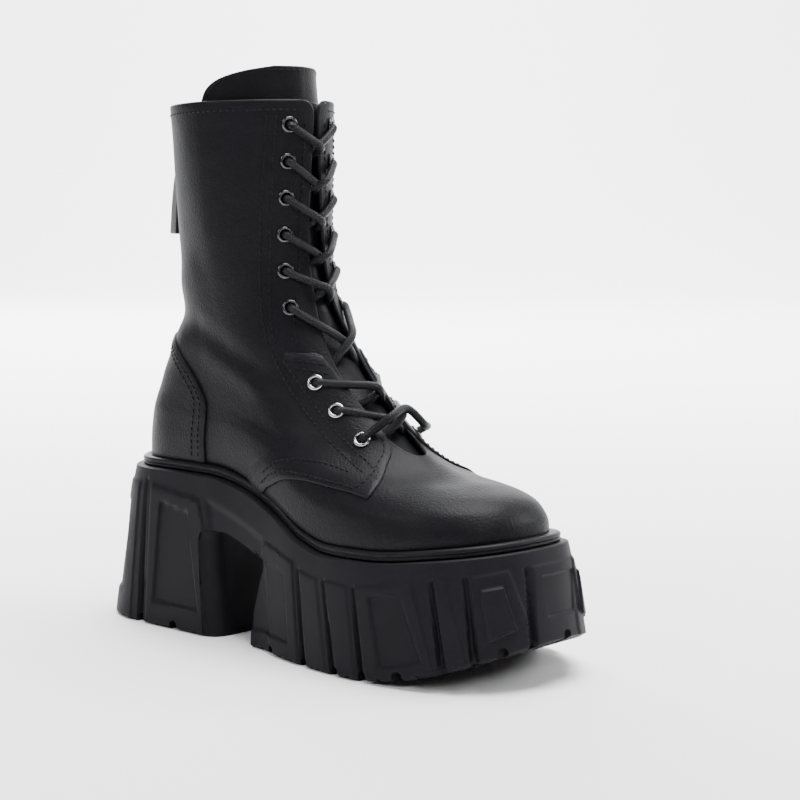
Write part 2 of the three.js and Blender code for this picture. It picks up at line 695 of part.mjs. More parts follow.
// One strand from an eyelet on one side to an eyelet on the other, arched over the throat.
function strand(from, to, extraLift, start = lace.start) {
  const near = upperOffset(from.row, from.degrees, -lace.clearance);
  const far = upperOffset(to.row, to.degrees, -lace.clearance);
  const middleRow = (from.row + to.row) / 2;
  const middle = upperOffset(middleRow, 180, -lace.clearance - extraLift);
  const curve = new THREE.QuadraticBezierCurve3(
    near,
    middle.clone().multiplyScalar(2).sub(near.clone().add(far).multiplyScalar(0.5)),
    far,
  );
  const shares = [start, 0.35, 0.5, 0.65, 1 - start];
  return cordSolid(shares.map((t) => curve.getPoint(t)));
}

function makeLaces() {
  const at = (index, side) => ({
    row: eyeletRows[index].row, degrees: sides[side].angle(eyeletRows[index].degrees),
  });
  const last = eyeletRows.length - 1;
  addPiece("lace_bar", geometryOf(strand(at(last, 0), at(last, 1), 0, lace.barStart)), cord);
  for (let i = last; i > 0; i -= 1) {
    const one = strand(at(i, 0), at(i - 1, 1), lace.lift);
    const other = strand(at(i, 1), at(i - 1, 0), lace.lift - 1.6);
    addPiece(`lace_cross_${last + 1 - i}`, geometryOf(one.add(other)), cord);
  }
}

// ---------------------------------------------------------------- zip and pull loop
function makeZip() {
  const chainFoot = zip.depth - gap;
  addPiece("zip_tape", zipStrip(zipTape, zip.depth, zip.depth + zipTape.thickness), tapeCloth);
  addPiece("zip_chain", zipStrip(zipChain, chainFoot - zipChain.thickness, chainFoot), nickel);
}

function zipFrame(height) {
  const place = insidePlace(height, zipMiddle(height));
  const normal = upperNormal(place.row, place.degrees).normalize();
  const point = upperPoint(place.row, place.degrees);
  const across = new THREE.Vector3(0, 0, 1).cross(normal).normalize();
  const along = normal.clone().cross(across).normalize();
  const basis = new THREE.Matrix4().makeBasis(across, along, normal);
  basis.setPosition(point);
  return basis;
}

function makeSlider() {
  const frame = zipFrame(sliderHeight);
  const blocks = sliderBlocks.map(({ across, along, out, middle, lift }) => (
    solid(new THREE.BoxGeometry(across, along, out).translate(0, middle, lift))));
  const whole = blocks.reduce((body, block) => body.add(block));
  addPiece("zip_slider", geometryOf(whole).applyMatrix4(frame), nickel);
  const { length, width, above, thickness, lift, shift } = pullTab;
  const tab = new THREE.Shape();
  tab.moveTo(-width / 2, above);
  tab.lineTo(-width / 2, -length + width / 2);
  tab.absarc(0, -length + width / 2, width / 2, Math.PI, 2 * Math.PI, false);
  tab.lineTo(width / 2, above);
  const { half, top, foot } = pullEye;
  tab.holes.push(new THREE.Path([[-half, top], [half, top], [half, foot], [-half, foot]].map(([x, y]) => (
    new THREE.Vector2(x, y)))));
  const pull = new THREE.ExtrudeGeometry(tab, { depth: thickness, bevelEnabled: false, curveSegments: 6 });
  pull.translate(0, shift, lift);
  addPiece("zip_pull", geometryOf(solid(pull)).applyMatrix4(frame), nickel);
}

function makePullLoop() {
  const { width, thickness } = pullLoop;
  const steps = 10;
  const along = Object.fromEntries(
    ["x", "y", "z", "twist"].map((column) => [column, tableCurve(loopRows, "index", column)]),
  );
  const rings = [];
  for (let i = 0; i <= steps; i += 1) {
    const place = ((loopRows.length - 1) * i) / steps;
    const turn = along.twist(place) * toRadians;
    const wide = new THREE.Vector3(-Math.sin(turn), Math.cos(turn), 0);
    const thick = new THREE.Vector3(Math.cos(turn), Math.sin(turn), 0);
    const centre = new THREE.Vector3(along.x(place), along.y(place), along.z(place));
    rings.push([[-1, -1], [1, -1], [1, 1], [-1, 1]].map(([a, b]) => (
      centre.clone().addScaledVector(wide, (a * width) / 2).addScaledVector(thick, (b * thickness) / 2))));
  }
  return outward(ringSolid(rings));
}

// ---------------------------------------------------------------- assembly
addPiece("sole", makeSole(), rubber);
addPiece("welt", makeWelt(), rubber);
addPiece("insole", makeInsole(), lining);
addPiece("upper", makeUpper(), leather);
addPiece("heel_counter", makeCounter(), leather);
addPiece("tongue", makeTongue(), leather);
for (const side of sides) {
  eyeletRows.forEach((place, index) => {
    const degrees = side.angle(place.degrees);
    const ring = addPiece(`eyelet_${side.name}_${index + 1}`, makeEyelet(), nickel);
    ring.position.copy(upperPoint(place.row, degrees));
    ring.quaternion.setFromUnitVectors(new THREE.Vector3(0, 1, 0), upperNormal(place.row, degrees));
  });
}
makeLaces();
makeZip();
makeSlider();
addPiece("pull_loop", makePullLoop(), leather);

// Origin: middle of the footprint, on the floor.
const bounds = new THREE.Box3().setFromObject(boot);
boot.position.set(-(bounds.min.x + bounds.max.x) / 2, -(bounds.min.y + bounds.max.y) / 2, -bounds.min.z);

export default boot;
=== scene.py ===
import math

import bpy
import numpy as np
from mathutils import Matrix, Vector
from mathutils.geometry import delaunay_2d_cdt


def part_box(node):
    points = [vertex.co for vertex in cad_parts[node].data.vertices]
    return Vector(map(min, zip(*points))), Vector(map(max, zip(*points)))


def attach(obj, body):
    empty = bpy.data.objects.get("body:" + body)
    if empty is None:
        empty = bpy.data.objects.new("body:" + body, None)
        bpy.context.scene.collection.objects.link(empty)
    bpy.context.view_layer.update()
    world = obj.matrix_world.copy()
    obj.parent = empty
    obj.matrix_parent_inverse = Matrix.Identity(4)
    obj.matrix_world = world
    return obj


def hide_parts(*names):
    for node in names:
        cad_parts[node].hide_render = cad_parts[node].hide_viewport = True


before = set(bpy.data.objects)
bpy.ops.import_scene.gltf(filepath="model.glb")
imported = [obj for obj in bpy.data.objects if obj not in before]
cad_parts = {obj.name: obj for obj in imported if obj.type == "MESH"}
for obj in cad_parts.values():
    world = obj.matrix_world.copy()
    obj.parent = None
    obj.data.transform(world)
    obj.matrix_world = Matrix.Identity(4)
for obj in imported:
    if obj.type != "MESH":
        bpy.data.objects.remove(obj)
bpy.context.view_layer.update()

bl_info = {
    "name": "Platform boot",
    "version": (1, 0, 0),
    "blender": (4, 5, 0),
    "location": "View3D > Sidebar > Boot",
    "description": "Builds a laced platform boot and its finishes over its engineering frame",
    "category": "Add Mesh",
}

# ------------------------------------------------------------------ sizes, in millimetres
# The boot's own frame: +X to the toe, +Y to the inside of the foot, x = 0 at the heel's tread and
# z = 0 on the floor.
SOLE_MIDDLE = np.array([138.5, 0.85, 0.0])
SEAT = 0.8                    # lower edge of the upper and welt over the platform
WALL = 2.0                    # leather and lining of the upper
WELT_INSET = 3.6
TONGUE = 3.0
TOE_SPRING = (197.0, 20.0, 80.0)   # where it starts, its rise, over how far
COLLAR = 14.0                 # last row of the upper's table
ROW_HEIGHT = 24.5             # height of one row of the upper under the collar
CORNER = 7.0                  # radius of the facings' top corners
ZIP_SLIT = (13, 104, 257.5)   # width, foot and top of the upper's opening for the zip
ZIP_TOP = 262                 # no part of the zip is placed higher
SLIDER_HEIGHT = 246.5
LOOP_SIZE = (13.0, 2.6)       # pull loop's width and thickness
LOOP_SEAMS = (4, 9)           # its bar tacks, as places along it
EYELET_BORE = 3.0


class Table:
    """Rows of numbers under named columns, read as smooth curves."""

    def __init__(self, columns, *rows):
        self.columns = columns.split()
        self.data = {c: np.array([r[i] for r in rows], float) for i, c in enumerate(self.columns)}
        self.size = len(rows)

    def curve(self, column, key=None):
        """Curve of a column along another, or along the rows' own numbers, with no overshoot."""
        xs = np.arange(self.size, dtype=float) if key is None else self.data[key]
        return smooth_curve(xs, self.data[column])


def smooth_curve(xs, ys):
    order = np.argsort(xs)
    xs, ys = np.asarray(xs, float)[order], np.asarray(ys, float)[order]
    slopes = np.diff(ys) / np.diff(xs)
    bends = np.concatenate([slopes[:1], np.zeros(len(slopes) - 1), slopes[-1:]])
    product = slopes[:-1] * slopes[1:]
    same = product > 0
    bends[1:-1][same] = 2 * product[same] / (slopes[:-1] + slopes[1:])[same]

    def at(x):
        x = np.clip(np.asarray(x, float), xs[0], xs[-1])
        i = np.clip(np.searchsorted(xs, x, side="left") - 1, 0, len(xs) - 2)
        step = xs[i + 1] - xs[i]
        t = (x - xs[i]) / step
        value = (2 * t**3 - 3 * t**2 + 1) * ys[i] + (3 * t**2 - 2 * t**3) * ys[i + 1]
        return value + ((t**3 - 2 * t**2 + t) * bends[i] + (t**3 - t**2) * bends[i + 1]) * step

    return at


# Platform outline seen from above: half widths to the outside and inside of the foot.
TREAD = Table("x outside inside", (0, 43, 43), (100, 42.5, 42.5), (125, 42.5, 43.5), (160, 50, 51.5),
              (197, 54.3, 56), (277, 54.3, 56))
TREAD_ENDS = (0, 277, 39.8, 80, 2, 2.32)       # rear, front, lengths and powers of its round ends
RIM = Table("x outside inside", (12, 35.5, 35.5), (70, 35.5, 35), (100, 36, 34.5), (130, 39, 36.5),
            (160, 45.5, 43.5), (195, 49.5, 50.5), (269.5, 49.5, 51))
RIM_ENDS = (12, 269.5, 36, 74, 2.1, 2.35)
RIM_HEIGHT = Table("x z", (0, 77), (60, 78), (88, 77.8), (102, 76), (120, 71.5), (140, 63.8), (158, 56),
                   (178, 52), (205, 52.5), (240, 56.5), (270, 60.8))
# The upper's sections from the sole up to the collar, each a tilted closed ring.
UPPER = Table(
    "back_x back_z front_x front_z heel fore rear_share front_share rear_power front_power sag",
    (20.6, 77.3, 261.5, 60, 27.2, 42.6, 0.13, 0.29, 2.1, 2.35, 1),
    (21.6, 86, 260.5, 68.5, 28.8, 44.2, 0.13, 0.29, 2.1, 2.35, 1),
    (23, 96, 256, 77, 29.3, 43.4, 0.13, 0.3, 2.1, 2.3, 0.9),
    (25, 105, 247.5, 83.4, 29.3, 40.2, 0.13, 0.33, 2.1, 2.15, 0.78),
    (27.2, 112, 235.5, 87, 29.1, 36.5, 0.14, 0.37, 2.1, 2.05, 0.62),
    (29.9, 119, 220, 89.5, 29, 33.4, 0.16, 0.42, 2.1, 1.95, 0.45),
    (33, 127, 202, 95.3, 29, 31.6, 0.18, 0.46, 2.1, 1.9, 0.28),
    (36.8, 135.5, 183, 107, 29.2, 30.4, 0.22, 0.48, 2.1, 1.9, 0.14),
    (40.4, 144.5, 163.5, 124.5, 29.9, 30, 0.27, 0.5, 2, 1.9, 0.05),
    (43.8, 155, 146.5, 145, 31.3, 30.6, 0.35, 0.5, 2, 1.85, 0),
    (45.6, 168, 135, 165, 33, 32.2, 0.45, 0.5, 2, 1.8, 0),
    (45.7, 187, 129.8, 187, 35, 34.8, 0.5, 0.5, 2, 1.75, 0),
    (44.8, 209, 128.6, 210.5, 36.8, 36.8, 0.5, 0.5, 2, 1.75, 0),
    (43.2, 233, 128.6, 235, 38.2, 38.2, 0.5, 0.5, 2, 1.75, 0),
    (41.4, 257.2, 129, 259.2, 39.2, 39.2, 0.5, 0.5, 2, 1.75, 0),
)
THROAT = Table("row half", (6.2, 2.5), (6.28, 5), (6.5, 7.8), (6.9, 9.6), (7.4, 10.6), (8, 11), (9, 10),
               (10, 7), (12, 4.6), (14, 1.7))
THROAT_FOOT = 6.2
TONGUE_ROWS = Table(
    "row depth side_depth reach over",
    (5.9, 3.7, 3.7, 30, 0), (7, 3.7, 3.7, 46, 0), (8.5, 3.7, 3.7, 56, 0), (10, 3.7, 3.7, 64, 0),
    (11.2, 4.3, 3.9, 70, 0), (12.4, 5.5, 4.2, 82, 0), (13.3, 7, 4.5, 89, 0), (14, 8.3, 4.8, 93, 0),
    (14, 8.8, 5, 91, 3.5), (14, 9.1, 5.3, 85.5, 7.8), (14, 9.4, 6, 75, 11.8), (14, 9.5, 7, 57, 15),
    (14, 9.6, 8, 33, 17.3),
)
ZIP = Table("z x", (103, 117), (113, 109.5), (135, 97.5), (156, 91), (186, 87.8), (212, 86.6),
            (240, 86), (262, 86))
LOOP = Table("x y z twist", (40.3, 0, 254, 0), (38.6, -0.1, 249, 6), (34.8, -0.4, 241.5, 27),
             (31.6, -1, 233, 50), (29.8, -1.8, 222, 60), (28.9, -2.6, 208, 62.5), (28.2, -3, 195.5, 63))
# Grooves down the platform's wall: degrees round it (0 heel, 90 outside, 180 toe) at each end, and
# how far up they reach as a share of the wall.
GROOVES = Table(
    "top bottom reach width", (40.5, 47, 0.93, 3.4), (99, 103.5, 0.8, 3), (107.5, 113, 0.8, 3.2),
    (117, 121, 0.79, 3.2), (140, 143, 0.84, 3), (150.5, 152, 0.84, 3.2), (172, 171, 0.84, 3.6),
    (199.5, 201, 0.84, 3.4), (214.5, 213, 0.84, 3.2), (224, 221, 0.84, 3), (243, 239, 0.79, 3.2),
    (252.5, 247, 0.8, 3.2), (261, 256.5, 0.8, 3), (319.5, 313, 0.93, 3.4),
)
# Flat forms on the wall, as corners of (degrees, share of the wall's height), their height over it
# and the width of their sloped edges. The same forms stand on the inside, mirrored.
WALL_FORMS = [
    ("heel_panel", [(44, 0.9), (64, 0.845), (66.5, 0.7), (75, -0.06), (50, -0.06)], 0.9, 0.8, True),
    ("heel_inset", [(49.2, 0.8), (60.5, 0.76), (68, 0.16), (51.5, 0.15)], -1.2, 1.05, True),
    ("rear_panel", [(-37.5, 0.9), (37.5, 0.9), (43, -0.06), (-43, -0.06)], 0.7, 0.8, False),
    ("rear_inset", [(-30, 0.76), (30, 0.76), (36, 0.18), (-36, 0.18)], -1.2, 1.05, False),
    ("heel_corner", [(67, 0.84), (86, 0.78), (92, -0.06), (76, -0.06)], -1.3, 4, True),
    ("waist_panel", [(87.5, 0.79), (98, 0.835), (102.4, -0.06), (80, -0.06), (82, 0.5)], 0.7, 0.8, True),
    ("waist_inset", [(84, 0.66), (95.5, 0.69), (98.4, 0.16), (84, 0.13)], -1.2, 1.05, True),
    ("bar_one", [(100.4, 0.8), (106.4, 0.8), (111.4, -0.06), (105, -0.06)], 0.5, 0.8, True),
    ("bar_two", [(109, 0.8), (116, 0.79), (119.6, -0.06), (114.4, -0.06)], 0.5, 0.8, True),
    ("ball_panel", [(118.5, 0.8), (135, 0.82), (141.4, -0.06), (122.4, -0.06)], 0.7, 0.8, True),
    ("ball_inset", [(122.6, 0.72), (131.5, 0.74), (137.4, 0.14), (126, 0.12)], -1.2, 1.05, True),
    ("bar_three", [(141.4, 0.83), (145, 0.81), (149.8, 0.04), (150.4, -0.06), (144.2, -0.06)], 0.6, 0.8, True),
    ("fore_panel", [(152.4, 0.83), (165, 0.84), (170, 0.3), (170, -0.06), (153.4, -0.06)], 0.7, 0.8, True),
    ("fore_block", [(155, 0.7), (162.3, 0.7), (165.6, 0.25), (156.8, 0.2)], 1.3, 0.6, True),
    ("toe_panel", [(173.6, 0.84), (197.6, 0.83), (199.4, -0.06), (172.4, -0.06)], 0.6, 0.8, False),
    ("toe_inset", [(177.5, 0.72), (194, 0.72), (194.4, 0.28), (178, 0.29)], -1.2, 1.05, False),
]
# The rim's rounded edge: how far in from it and how far up each step lies, over a wall that ends lower.
RIM_EDGE = ((0.05, 0), (0.25, 0.22), (0.7, 0.42), (1.4, 0.5))
RIM_DROP = 0.5
# Slots across the tread, by their distance from the heel, and short ones at places round it.
TREAD_SLOTS = (44, 70, 143, 171, 193, 210, 229, 249)
SIPES = (30, 57, 86, 134, 152, 161, 182, 201.5, 219.5, 239, 259)     # fine cuts between the slots
SIPE_SIZE = (0.7, 1.6)        # half width and height of a fine cut
NOTCH_SIZE = (2.6, 2.4, 2.2)  # half width of an edge notch, height of its sides and rise of its arch
TREAD_NOTCHES = (27, 160.5, 183.5, 206, 333)
# The arch between heel and forefoot, seen from the side.
ARCH = [(100.1, -2), (124.9, -2), (125.4, 17), (128.8, 30), (131.8, 39.5), (131.2, 42.6), (121, 46.6),
        (112, 49.6), (103, 52), (97, 52.2), (93.8, 50.5), (92.8, 47), (95.8, 25)]
ARCH_ROUND = 9.0              # radius of the heel block's front corners
HEEL_HALVES = (42.5, 35.5)    # the heel block's half width at the tread and at the rim
# Edges of the leather pieces over the upper, as rows and degrees of its own function.
QUARTER_SEAM = [(0.05, 81.6), (0.55, 83.3), (1.1, 85.5), (1.6, 88.6), (2.25, 93), (2.85, 99), (3.22, 105.5),
                (3.36, 112.4), (3.3, 117.8), (3.12, 122.5), (3.04, 124.4)]
QUARTER_FRONT = [(3.04, 124.4), (3.75, 128.4), (4.65, 134.4), (5.45, 141.8), (5.9, 148), (6.3, 155),
                 (6.62, 159.6), (7.0, 161.2), (7.35, 160.2), (7.8, 157.6), (8.2, 155.2), (8.5, 153)]
QUARTER_TOP = [(8.5, 153), (8.62, 151.6), (8.68, 149), (8.67, 140), (8.65, 133), (8.64, 127.5), (8.6, 122)]
QUARTER_BACK = [(8.6, 122), (7.9, 113), (6.6, 106), (5.2, 99), (3.6, 88), (2, 79), (0.05, 73)]
COUNTER_EDGE = [(0.05, 58.6), (1.8, 58.6), (3.8, 60.4), (5.4, 61.4), (6.2, 59.6), (6.8, 56), (7.25, 51),
                (7.6, 45), (7.88, 38), (8.05, 28), (8.14, 14), (8.16, 0)]
# Rows of stitches: the piece whose surface they lie on, then rows and degrees.
STITCH_ROWS = [
    ("quarter", [(8.55, 118.4), (8.2, 118), (7.8, 118.6), (7.4, 119.7), (7.1, 120.8), (6.5, 123), (6.1, 124.7),
                 (5.7, 126.4), (5.25, 127.6), (4.75, 128.1)]),
    ("quarter", [(8.45, 123.4), (8.2, 125), (7.9, 126.4), (7.45, 128), (7, 130), (6.5, 132.6), (6.2, 134),
                 (5.9, 135), (5.6, 135.6), (5.2, 135.2)]),
    ("quarter", [(1.6, 84), (2, 86), (2.5, 88.8), (3, 92), (3.5, 96), (4, 100.5), (4.35, 105), (4.6, 109.5),
                 (4.75, 114), (4.76, 118.5), (4.6, 122.6)]),
    ("quarter", [(1, 83), (1.5, 85.3), (2, 88.2), (2.7, 94), (3.2, 100), (3.5, 106), (3.62, 112), (3.58, 117.5),
                 (3.45, 120.6)]),
    ("quarter", [(3.45, 120.6), (4.05, 125.7), (4.85, 132.2), (5.6, 140), (6.05, 147), (6.45, 153.6),
                 (6.75, 157.2)]),
    ("quarter", [(8.47, 128), (8.47, 140), (8.45, 149.6)]),
    ("quarter", [(8.28, 128.6), (8.27, 140), (8.25, 150)]),
    ("shaft", [(13.72, 138.6), (12.9, 137), (12.4, 135), (11.3, 131.3), (10, 124.6), (9.2, 119.9),
               (8.75, 117.8)]),
    ("shaft", [(13.72, 145.2), (13.05, 143.3), (12.1, 141), (10.9, 136.4), (9.7, 128.6), (9.1, 124.4),
               (8.78, 122.6)]),
    ("shaft", [(13.6, 167.4), (12.4, 164), (11.6, 161.3), (10.7, 157), (10.1, 150.5), (9.6, 144), (9.2, 140),
               (8.85, 138)]),
    ("counter", [(0.8, 56.2), (1.8, 56.3), (3.8, 58), (5.3, 58.8), (6.05, 56.8), (6.65, 53), (7.08, 48),
                 (7.42, 42.4), (7.66, 36), (7.84, 26), (7.93, 13), (7.95, 0)]),
    ("counter", [(0.8, 53.4), (1.8, 53.6), (3.8, 55.2), (5.2, 55.8), (5.86, 53.8), (6.42, 50.3), (6.84, 45.6),
                 (7.18, 40), (7.42, 33.6), (7.6, 24.5), (7.7, 12), (7.72, 0)]),
]
# Soft folds of the leather: rows and degrees along each, half width, height, and the sides that have it.
FOLDS = [
    ([(9.3, 8), (9.2, 35), (8.9, 62)], 8.5, -1.5, "both"),
    ([(8.35, 4), (8.3, 26), (7.9, 44)], 7, 0.9, "both"),
    ([(10.3, 14), (10.2, 40), (10.5, 70)], 9, 0.8, "both"),
    ([(8.9, 70), (8.3, 92), (7.7, 112)], 6, -0.9, "both"),
    ([(7.9, 74), (7.3, 96)], 6, 0.6, "outside"),
    ([(6.1, 180), (5.3, 180), (4.6, 180)], 9, 0.35, "both"),
    ([(5.6, 156), (4.9, 149), (4.2, 142)], 7, -0.4, "both"),
    ([(13.2, 62), (12, 66), (10.8, 74)], 13, -0.7, "both"),
    ([(12.9, 100), (11.8, 98), (10.6, 104)], 11, 0.6, "outside"),
    ([(12.6, 30), (11.4, 34)], 12, 0.5, "both"),
]
# Eyelets down each facing: height of the first, distance between them, half spread and its widening.
SHAFT_EYELETS = (6, 248.0, 17.35, 13.8, 0.038)
FOOT_EYELETS = (3, 126.5, 12.5, 19.6, -0.06)
# An eyelet's section: distance from its middle, and height over the leather.
EYELET_PROFILE = [(2.35, -2.6), (2.3, 0.2), (2.36, 0.75), (2.6, 1.15), (3.0, 1.34), (3.4, 1.26), (3.8, 0.98),
                  (4.02, 0.6), (4.0, 0.34), (3.7, 0.16), (2.9, 0.1), (2.75, -2.6)]
# The welt's section: share of the way from its outer edge to the upper, and height over the platform.
WELT_PROFILE = [(0.06, 0.5), (0.0, 0.9), (-0.03, 1.5), (0.03, 1.95), (0.1, 2.15), (0.03, 2.35), (-0.02, 2.9),
                (0.0, 3.7), (0.07, 4.3), (0.2, 4.7), (0.42, 4.75), (0.55, 4.5), (0.62, 4.1), (0.7, 4.3),
                (0.82, 4.75), (1.0, 4.8), (1.0, 0.4), (0.5, 0.3)]
# The edge of a leather overlay: how far out of its line each step stands, and how far down its height.
OVERLAY_EDGE = ((0.22, -0.1), (0.42, -0.35), (0.5, -0.75))
OVERLAY_SINK = 0.25           # how far an overlay's edge goes into the leather under it
# The slider's blocks: middle across, along and out of the zip, size the same way, and rounding.
SLIDER_BLOCKS = [
    ((0, 0.6, 2.15), (8.4, 9.4, 1.1), 0.5), ((0, -3.2, 2.1), (5.6, 4.6, 1.2), 0.5),
    ((0, 0.6, 0.65), (8.4, 9.4, 1.0), 0.45), ((0, 3.3, 1.4), (2.2, 2.6, 1.6), 0.3),
    ((-3.9, -0.4, 1.4), (0.9, 7.4, 2.4), 0.35), ((3.9, -0.4, 1.4), (0.9, 7.4, 2.4), 0.35),
]
# The slider's bridge, along and out of the zip.
BRIDGE = [(2.9, 2.4), (3.0, 3.6), (2.7, 4.8), (1.8, 5.5), (0, 5.72), (-2.0, 5.6), (-3.0, 5.0), (-3.45, 3.8),
          (-3.4, 2.4)]
# Lamps: place and target in metres, size in metres and power in watts. The camera looks along its azimuth.
CAMERA_PLACE, CAMERA_TILT, CAMERA_AZIMUTH = (0.63963, -0.64761, 0.21592), 6.249, 42.613
LAMPS = [
    ("key", (-0.9, -2.6, 2.2), (0, 0, 0.12), 1.3, 46.0), ("front", (2.6, -1.3, 1.9), (0, 0, 0.12), 1.0, 26.0),
    ("top", (0.3, 0.4, 3.0), (0, 0, 0), 2.2, 230.0), ("inside", (1.6, 2.4, 1.5), (0, 0, 0.12), 1.2, 60.0),
    ("back", (-2.5, 1.0, 1.4), (0, 0, 0.12), 1.2, 60.0),
]
WASH = (1.5, 3.0, 5.0, 0.9, 2.4, 640.0)     # backdrop lamp's distance and height, its target's, size, power
WORLD_LIGHT = 0.1
# Lace from each eyelet to the next one down, from the outside first: how far its middle stands over
# the tongue, and how far it hangs down along the boot.
LACE_RUNS = Table(
    "lift sag other_lift other_sag", (4.6, 2.5, 1.2, 1), (1.2, 2.6, 4.9, 1.6), (4.8, 3.2, 1, 1.4),
    (1.2, 2, 5, 2.2), (4.8, 2.4, 1.2, 0.8), (1.4, 0.5, 5.2, 0.5), (5.4, -0.5, 1.4, 0), (1.6, -0.5, 5.6, 0.5),
)


# ------------------------------------------------------------------ the boot's own forms
def mix(a, b, t):
    return a + (b - a) * t


def ease(low, high, x):
    t = np.clip((np.asarray(x, float) - low) / (high - low), 0, 1)
    return t * t * (3 - 2 * t)


def unit(v):
    return v / np.maximum(np.linalg.norm(v, axis=-1, keepdims=True), 1e-12)


def end_shape(from_rear, from_front, rear_power, front_power):
    rear = np.clip(1 - from_rear, 0, 1)
    front = np.clip(1 - from_front, 0, 1)
    return (1 - rear**rear_power) ** (1 / rear_power) * (1 - front**front_power) ** (1 / front_power)


rim_z = RIM_HEIGHT.curve("z", "x")


def tread_z(x):
    start, rise, run = TOE_SPRING
    return np.where(x > start, rise * ((x - start) / run) ** 2, 0.0)


def outline(table, ends):
    rear, front, rear_length, front_length, rear_power, front_power = ends
    outside, inside = table.curve("outside", "x"), table.curve("inside", "x")

    def at(degrees):
        degrees = np.asarray(degrees, float)
        x = rear + (front - rear) * (1 - np.cos(np.radians(degrees))) / 2
        close = end_shape((x - rear) / rear_length, (front - x) / front_length, rear_power, front_power)
        y = np.where(degrees % 360 <= 180, -outside(x), inside(x)) * close
        return np.stack([x, y, np.zeros_like(x)], -1)

    return at


tread, rim = outline(TREAD, TREAD_ENDS), outline(RIM, RIM_ENDS)


def wall_point(degrees, share):
    """Point of the platform's wall, from its foot (share 0) to its rim (share 1)."""
    low, high = tread(degrees), rim(degrees)
    share = np.asarray(share, float)
    x, y = mix(low[..., 0], high[..., 0], share), mix(low[..., 1], high[..., 1], share)
    z = mix(tread_z(low[..., 0]), rim_z(high[..., 0]), share)
    return np.stack(np.broadcast_arrays(x, y, z), -1)


def outward_of(shape, degrees):
    """Direction straight out of an outline, in plan."""
    along = shape(degrees + 0.4) - shape(degrees - 0.4)
    return unit(np.stack([along[..., 1], -along[..., 0], np.zeros_like(along[..., 0])], -1))


UPPER_CURVES = {column: UPPER.curve(column) for column in UPPER.columns}


def upper_point(row, degrees):
    """Point of the upper's outer face: row up it, degrees round from the back seam over the outside."""
    row, degrees = np.broadcast_arrays(np.asarray(row, float), np.asarray(degrees, float))
    s = {column: curve(row) for column, curve in UPPER_CURVES.items()}
    share = (1 - np.cos(np.radians(degrees))) / 2
    x = mix(s["back_x"], s["front_x"], share)
    first = {column: UPPER.data[column][0] for column in ("back_x", "front_x", "back_z", "front_z")}
    along = (x - first["back_x"]) / (first["front_x"] - first["back_x"])
    chord = mix(first["back_z"], first["front_z"], along)
    z = mix(s["back_z"], s["front_z"], share) + (rim_z(x) + SEAT - chord) * s["sag"]
    width = mix(s["heel"], s["fore"], ease(0.22, 0.72, share))
    close = end_shape(share / s["rear_share"], (1 - share) / s["front_share"], s["rear_power"],
                      s["front_power"])
    return np.stack([x, np.where(degrees % 360 <= 180, -1.0, 1.0) * width * close, z], -1)


def upper_normal(row, degrees):
    around = upper_point(row, degrees + 0.6) - upper_point(row, degrees - 0.6)
    row = np.asarray(row, float)
    up = upper_point(np.minimum(row + 0.08, COLLAR), degrees) - upper_point(np.maximum(row - 0.08, 0), degrees)
    return unit(np.cross(around, up))


def upper_offset(row, degrees, depth):
    """Point at a depth under the upper's outer face; a negative depth stands proud of it."""
    row, degrees = np.broadcast_arrays(np.asarray(row, float), np.asarray(degrees, float))
    normal = upper_normal(row, degrees)
    level = (row <= 0) | (row >= COLLAR)
    flat = unit(normal * np.array([1, 1, 0]))
    normal = np.where(level[..., None], flat, normal)
    return upper_point(row, degrees) - normal * np.asarray(depth, float)[..., None]


def lengths(points):
    """How far along a line each of its points is."""
    return np.concatenate([[0], np.cumsum(np.linalg.norm(np.diff(points, axis=0), axis=1))])


def along_polyline(points, spacing):
    """Evenly spaced points along a smooth line through points of any dimension."""
    points = np.asarray(points, float)
    apart = np.linalg.norm(np.diff(points, axis=0), axis=1)
    points = points[np.concatenate([[True], apart > 1e-4])]
    at = lengths(points)
    fine = np.linspace(0, at[-1], max(int(at[-1] / spacing * 6), 8 * len(points)))
    line = np.stack([spline(at, points[:, k], fine) for k in range(points.shape[1])], -1)
    length = lengths(line)
    count = max(int(round(length[-1] / spacing)), 2)
    places = np.linspace(0, length[-1], count + 1)
    return np.stack([np.interp(places, length, line[:, k]) for k in range(line.shape[1])], -1)


def spline(at, values, x):
    """Rounded curve through values: a cubic with each point's slope from its two neighbours."""
    slopes = np.gradient(values, at) if len(at) > 2 else np.full(2, (values[1] - values[0]) / (at[1] - at[0]))
    i = np.clip(np.searchsorted(at, x) - 1, 0, len(at) - 2)
    step = at[i + 1] - at[i]
    t = (x - at[i]) / step
    value = (2 * t**3 - 3 * t**2 + 1) * values[i] + (3 * t**2 - 2 * t**3) * values[i + 1]
    return value + ((t**3 - 2 * t**2 + t) * slopes[i] + (t**3 - t**2) * slopes[i + 1]) * step


def distance_to(points, line):
    """Distance of each point to a polyline."""
    flat = points.reshape(-1, 3)
    best = np.full(len(flat), 1e9)
    for a, b in zip(line[:-1], line[1:]):
        way = b - a
        t = np.clip(((flat - a) @ way) / max(way @ way, 1e-9), 0, 1)
        best = np.minimum(best, np.linalg.norm(flat - a - t[:, None] * way, axis=1))
    return best.reshape(points.shape[:-1])


def fold_lines():
    lines = []
    for places, width, height, sides in FOLDS:
        rows, degrees = np.array(places, float).T
        for mirrored in ((False, True) if sides == "both" else (False,)):
            turn = 360 - degrees if mirrored else degrees
            lines.append((along_polyline(upper_point(rows, turn), 4), width, height))
    return lines


FOLD_LINES = fold_lines()


def relief(row, degrees):
    """How far the folds lift the leather, in millimetres."""
    points = upper_point(row, degrees)
    total = np.zeros(points.shape[:-1])
    for line, width, height in FOLD_LINES:
        total += height * np.exp(-((distance_to(points, line) / width) ** 2))
    return total


